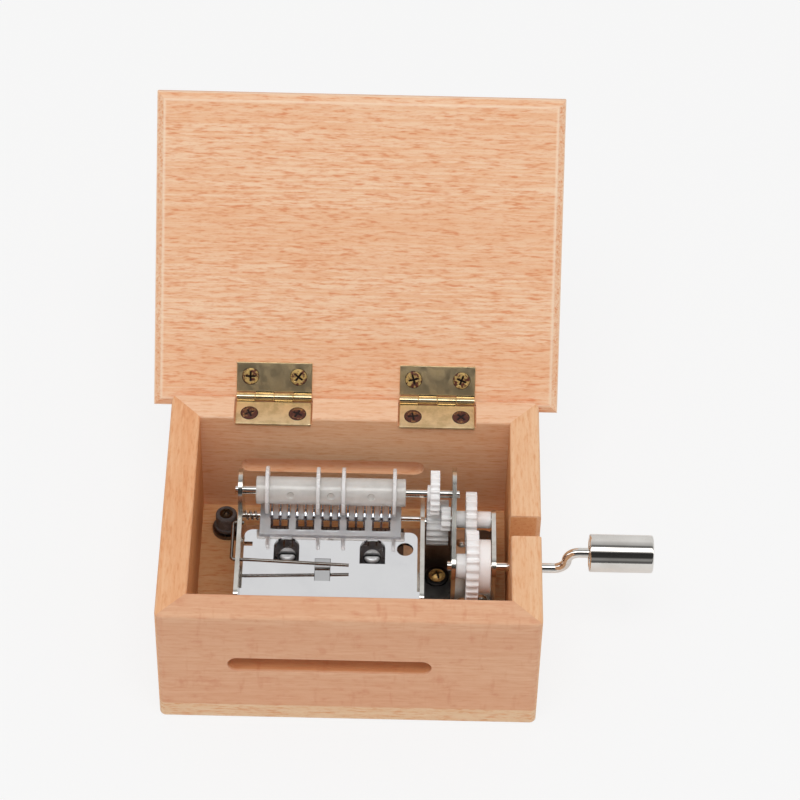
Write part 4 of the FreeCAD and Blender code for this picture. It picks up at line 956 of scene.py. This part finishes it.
def soft_board(low, high, radius, steps=6):
    """Board with every edge rounded.

    Rings of a rounded rectangle are drawn in towards both faces by a quarter circle."""
    low = np.array(low, float)
    high = np.array(high, float)
    quarter = np.linspace(0, np.pi / 2, steps + 1)
    loop = np.concatenate([quarter + i * np.pi / 2 for i in range(4)])
    centre = (low + high)[:2] / 2 + np.repeat(CORNER_SIGNS, steps + 1, 0) * ((high - low)[:2] / 2 - radius)
    lift = np.concatenate([quarter - np.pi / 2, quarter])
    lower = np.arange(len(lift)) <= steps
    height = np.where(lower, low[2] + radius, high[2] - radius) + radius * np.sin(lift)
    outward = np.stack([np.cos(loop), np.sin(loop)], -1)
    flat = centre[None] + radius * np.cos(lift)[:, None, None] * outward[None]
    corner = np.arange(4) * (steps + 1)
    caps = np.stack([corner, corner + (len(lift) - 1) * len(loop)])
    return stacked(flat, height), np.concatenate([grid_faces(len(lift), len(loop)), caps])


def chamfered_board(low, high, chamfer, soft):
    """Board with chamfered edges: rectangles drawn in by a softened profile of (inset, height).

    The painted highlight that marks a point falls off with its distance from the nearest ridge."""
    inmost = chamfer * 3
    corners = np.array([(inmost, low[2]), (chamfer, low[2]), (0, low[2] + chamfer),
                        (0, high[2] - chamfer), (chamfer, high[2]), (inmost, high[2])])
    smooth = softened(corners, soft, 5)
    reach = np.concatenate([[0], np.cumsum(np.linalg.norm(np.diff(smooth, axis=0), axis=1))])
    even = np.linspace(0, reach[-1], 150)
    profile = np.stack([np.interp(even, reach, smooth[:, 0]), np.interp(even, reach, smooth[:, 1])], -1)
    ridge = np.linalg.norm(profile[:, None] - corners[None, 1:-1], axis=2).min(1)
    ridge_highlight = np.clip(1 - ridge / (2 * soft), 0, 1)
    middle = (low + high)[:2] / 2
    half = (high - low)[:2] / 2
    flat = middle + CORNER_SIGNS[None] * (half - profile[:, :1])[:, None, :]
    caps = np.array([[3, 2, 1, 0], [0, 1, 2, 3]]) + np.array([[0], [4 * (len(profile) - 1)]])
    faces = np.concatenate([grid_faces(len(profile), 4), caps])
    return stacked(flat, profile[:, 1]), faces, np.repeat(ridge_highlight, 4)


def lid():
    """Lid board with a painted highlight along the ridges of its chamfers."""
    low, high = closed_box("lid_board")
    points, faces, ridge_highlight = chamfered_board(low, high, LID_CHAMFER, LID_SOFT)
    return piece("lid", [(opened(points), faces)], "lid_board", crease=24, marks=ridge_highlight)


def hinge_leaf(node, first, on_lid, place):
    """Plate of a leaf with its tongues and knuckles, which the mesh marks as polished."""
    low, high = closed_box(node) if on_lid else [np.array(corner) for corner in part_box(node)]
    seat = high[2] - PIN_Z if on_lid else PIN_Z - low[2]
    z0 = high[2] - LEAF if on_lid else low[2]
    z1 = z0 + LEAF
    knuckle_r = high[1] - PIN_Y
    pitch = (high[0] - low[0]) / KNUCKLES
    play = 0.05 * MM
    inside = 0.01 * MM
    plate_edge = 0.2 * MM
    tongue_edge = 0.1 * MM
    knuckle_edge = 0.14 * MM
    plate_rear = PIN_Y - seat - 0.1 * MM
    tongue_front = plate_rear - 0.4 * MM
    surfaces = [soft_board((low[0], low[1], z0), (high[0], plate_rear, z1), plate_edge)]
    polished = [np.zeros(len(surfaces[0][0]))]
    for start in low[0] + pitch * np.arange(first, KNUCKLES, 2):
        x0 = start + play
        x1 = start + pitch - play
        surfaces.append(soft_board((x0, tongue_front, z0 + inside), (x1, PIN_Y, z1 - inside), tongue_edge))
        surfaces.append(ring(x0, x1, PIN_R, knuckle_r, (0, PIN_Y, PIN_Z), knuckle_edge, steps=64))
        polished += [np.ones(len(points)) for points, faces in surfaces[-2:]]
    surfaces = [(place(points), faces) for points, faces in surfaces]
    piece(node.replace("hinge", "brass"), surfaces, node, marks=np.concatenate(polished))


def hinges():
    """Leaves and screws of the two butt hinges."""
    screw_turn = 37
    lower_turn = 25
    upper = []
    lower = []
    for side in ("left", "right"):
        hinge_leaf(side + "_hinge_box_leaf", 0, False, as_built)
        hinge_leaf(side + "_hinge_lid_leaf", 1, True, opened)
        low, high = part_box(side + "_hinge_box_leaf")
        middle = (low.x + high.x) / 2
        lower_z = low.z + LEAF
        upper_z = 2 * PIN_Z - lower_z
        y = PIN_Y - SCREW_OFF_PIN
        for x in (middle - SCREW_OFF_MIDDLE, middle + SCREW_OFF_MIDDLE):
            rest = screw_turn * len(upper)
            lower.append(dict(centre=(x, y, lower_z), up=UP, side=crossways(rest + lower_turn),
                              **HINGE_SCREW))
            upper.append(dict(centre=(x, y, upper_z), up=DOWN, side=crossways(rest), **HINGE_SCREW))
    screw_heads("box_screw_heads", "hinge_box_screws", lower)
    screw_heads("lid_screw_heads", "hinge_lid_screws", upper, opened)


# Stage
def by_ray(tree, ray, other, seen):
    """Number that differs for one kind of ray."""
    made = tree.nodes.new("ShaderNodeMix")
    tree.links.new(tree.nodes.new("ShaderNodeLightPath").outputs[ray], made.inputs[0])
    connect(tree, other, made.inputs[2])
    connect(tree, seen, made.inputs[3])
    return made.outputs[0]


def studio():
    """White room; polished metal sees its lamps, the dark side behind the camera and the gaps between."""
    world = bpy.data.worlds.new("studio")
    bpy.context.scene.world = world
    world.use_nodes = True
    tree = world.node_tree
    split = tree.nodes.new("ShaderNodeSeparateXYZ")
    tree.links.new(tree.nodes.new("ShaderNodeTexCoord").outputs["Generated"], split.inputs[0])
    towards = math_node(tree, "MULTIPLY", split.outputs["Y"], -1.0)
    height = math_node(tree, "ARCTAN2", split.outputs["Z"], towards)
    turns = math_node(tree, "MULTIPLY", height, 0.5 / math.pi)
    room = tree.nodes.new("ShaderNodeValToRGB")
    tree.links.new(math_node(tree, "ADD", turns, 0.5), room.inputs[0])
    stops = room.color_ramp.elements
    ready = len(stops)
    for number, (degrees, light) in enumerate(ROOM):
        place = degrees / 360 + 0.5
        stop = stops[number] if number < ready else stops.new(place)
        stop.position = place
        stop.color = (light, light, light, 1)
    seen = by_ray(tree, "Is Glossy Ray", AMBIENT, room.outputs["Color"])
    seen = by_ray(tree, "Is Camera Ray", seen, BACKDROP)
    backdrop = tree.nodes["Background"]
    backdrop.inputs["Color"].default_value = (1, 1, 1, 1)
    tree.links.new(seen, backdrop.inputs["Strength"])


def floor():
    """Pale floor that the camera sees almost evenly white, with only a trace of shadow."""
    bpy.ops.mesh.primitive_plane_add(size=FLOOR_SIZE, location=(0, FLOOR_SIZE / 2 - FLOOR_FRONT, 0))
    made = bpy.context.object
    made.name = "floor"
    material, tree, shader = finish_of("pale_floor")
    shade = by_ray(tree, "Is Camera Ray", FLOOR_BOUNCE, FLOOR_SHADE)
    colour = tree.nodes.new("ShaderNodeCombineColor")
    for channel in colour.inputs:
        tree.links.new(shade, channel)
    tree.links.new(colour.outputs[0], shader.inputs["Base Color"])
    shader.inputs["Roughness"].default_value = 1.0
    shader.inputs["Specular IOR Level"].default_value = 0.0
    shader.inputs["Emission Color"].default_value = (1, 1, 1, 1)
    glow = by_ray(tree, "Is Camera Ray", 0.0, BACKDROP - FLOOR_SHADE)
    tree.links.new(glow, shader.inputs["Emission Strength"])
    made.data.materials.append(material)


def key_lamp():
    """Large soft lamp that polished metal doesn't mirror."""
    light = bpy.data.lights.new("key", "AREA")
    light.shape = "RECTANGLE"
    light.size, light.size_y = KEY_SIZE
    light.energy = KEY_POWER
    made = bpy.data.objects.new("key", light)
    bpy.context.scene.collection.objects.link(made)
    made.location = KEY_AT
    made.rotation_euler = (Vector(KEY_AIM) - Vector(KEY_AT)).to_track_quat("-Z", "Y").to_euler()
    made.visible_glossy = False


def stage():
    """White studio, one large soft lamp above the front and the photograph's camera."""
    scene = bpy.context.scene
    scene.view_settings.view_transform = "Standard"
    studio()
    floor()
    key_lamp()
    camera = bpy.data.objects.new("photo_camera", bpy.data.cameras.new("photo_camera"))
    camera.data.lens = CAMERA_LENS
    camera.data.clip_start = CAMERA_NEAR
    camera.location = CAMERA_AT
    camera.rotation_euler = Euler([math.radians(turn) for turn in CAMERA_TURN])
    scene.collection.objects.link(camera)
    scene.camera = camera


dress_nodes()
crank_knob()
crank_rod()
feed_roller()
feed_discs()
gear_train()
star_wheels()
paper_guide()
axle_spring()
board_screws()
comb_screws()
turned_fixings()
straight_rods()
lid()
hinges()
stage()
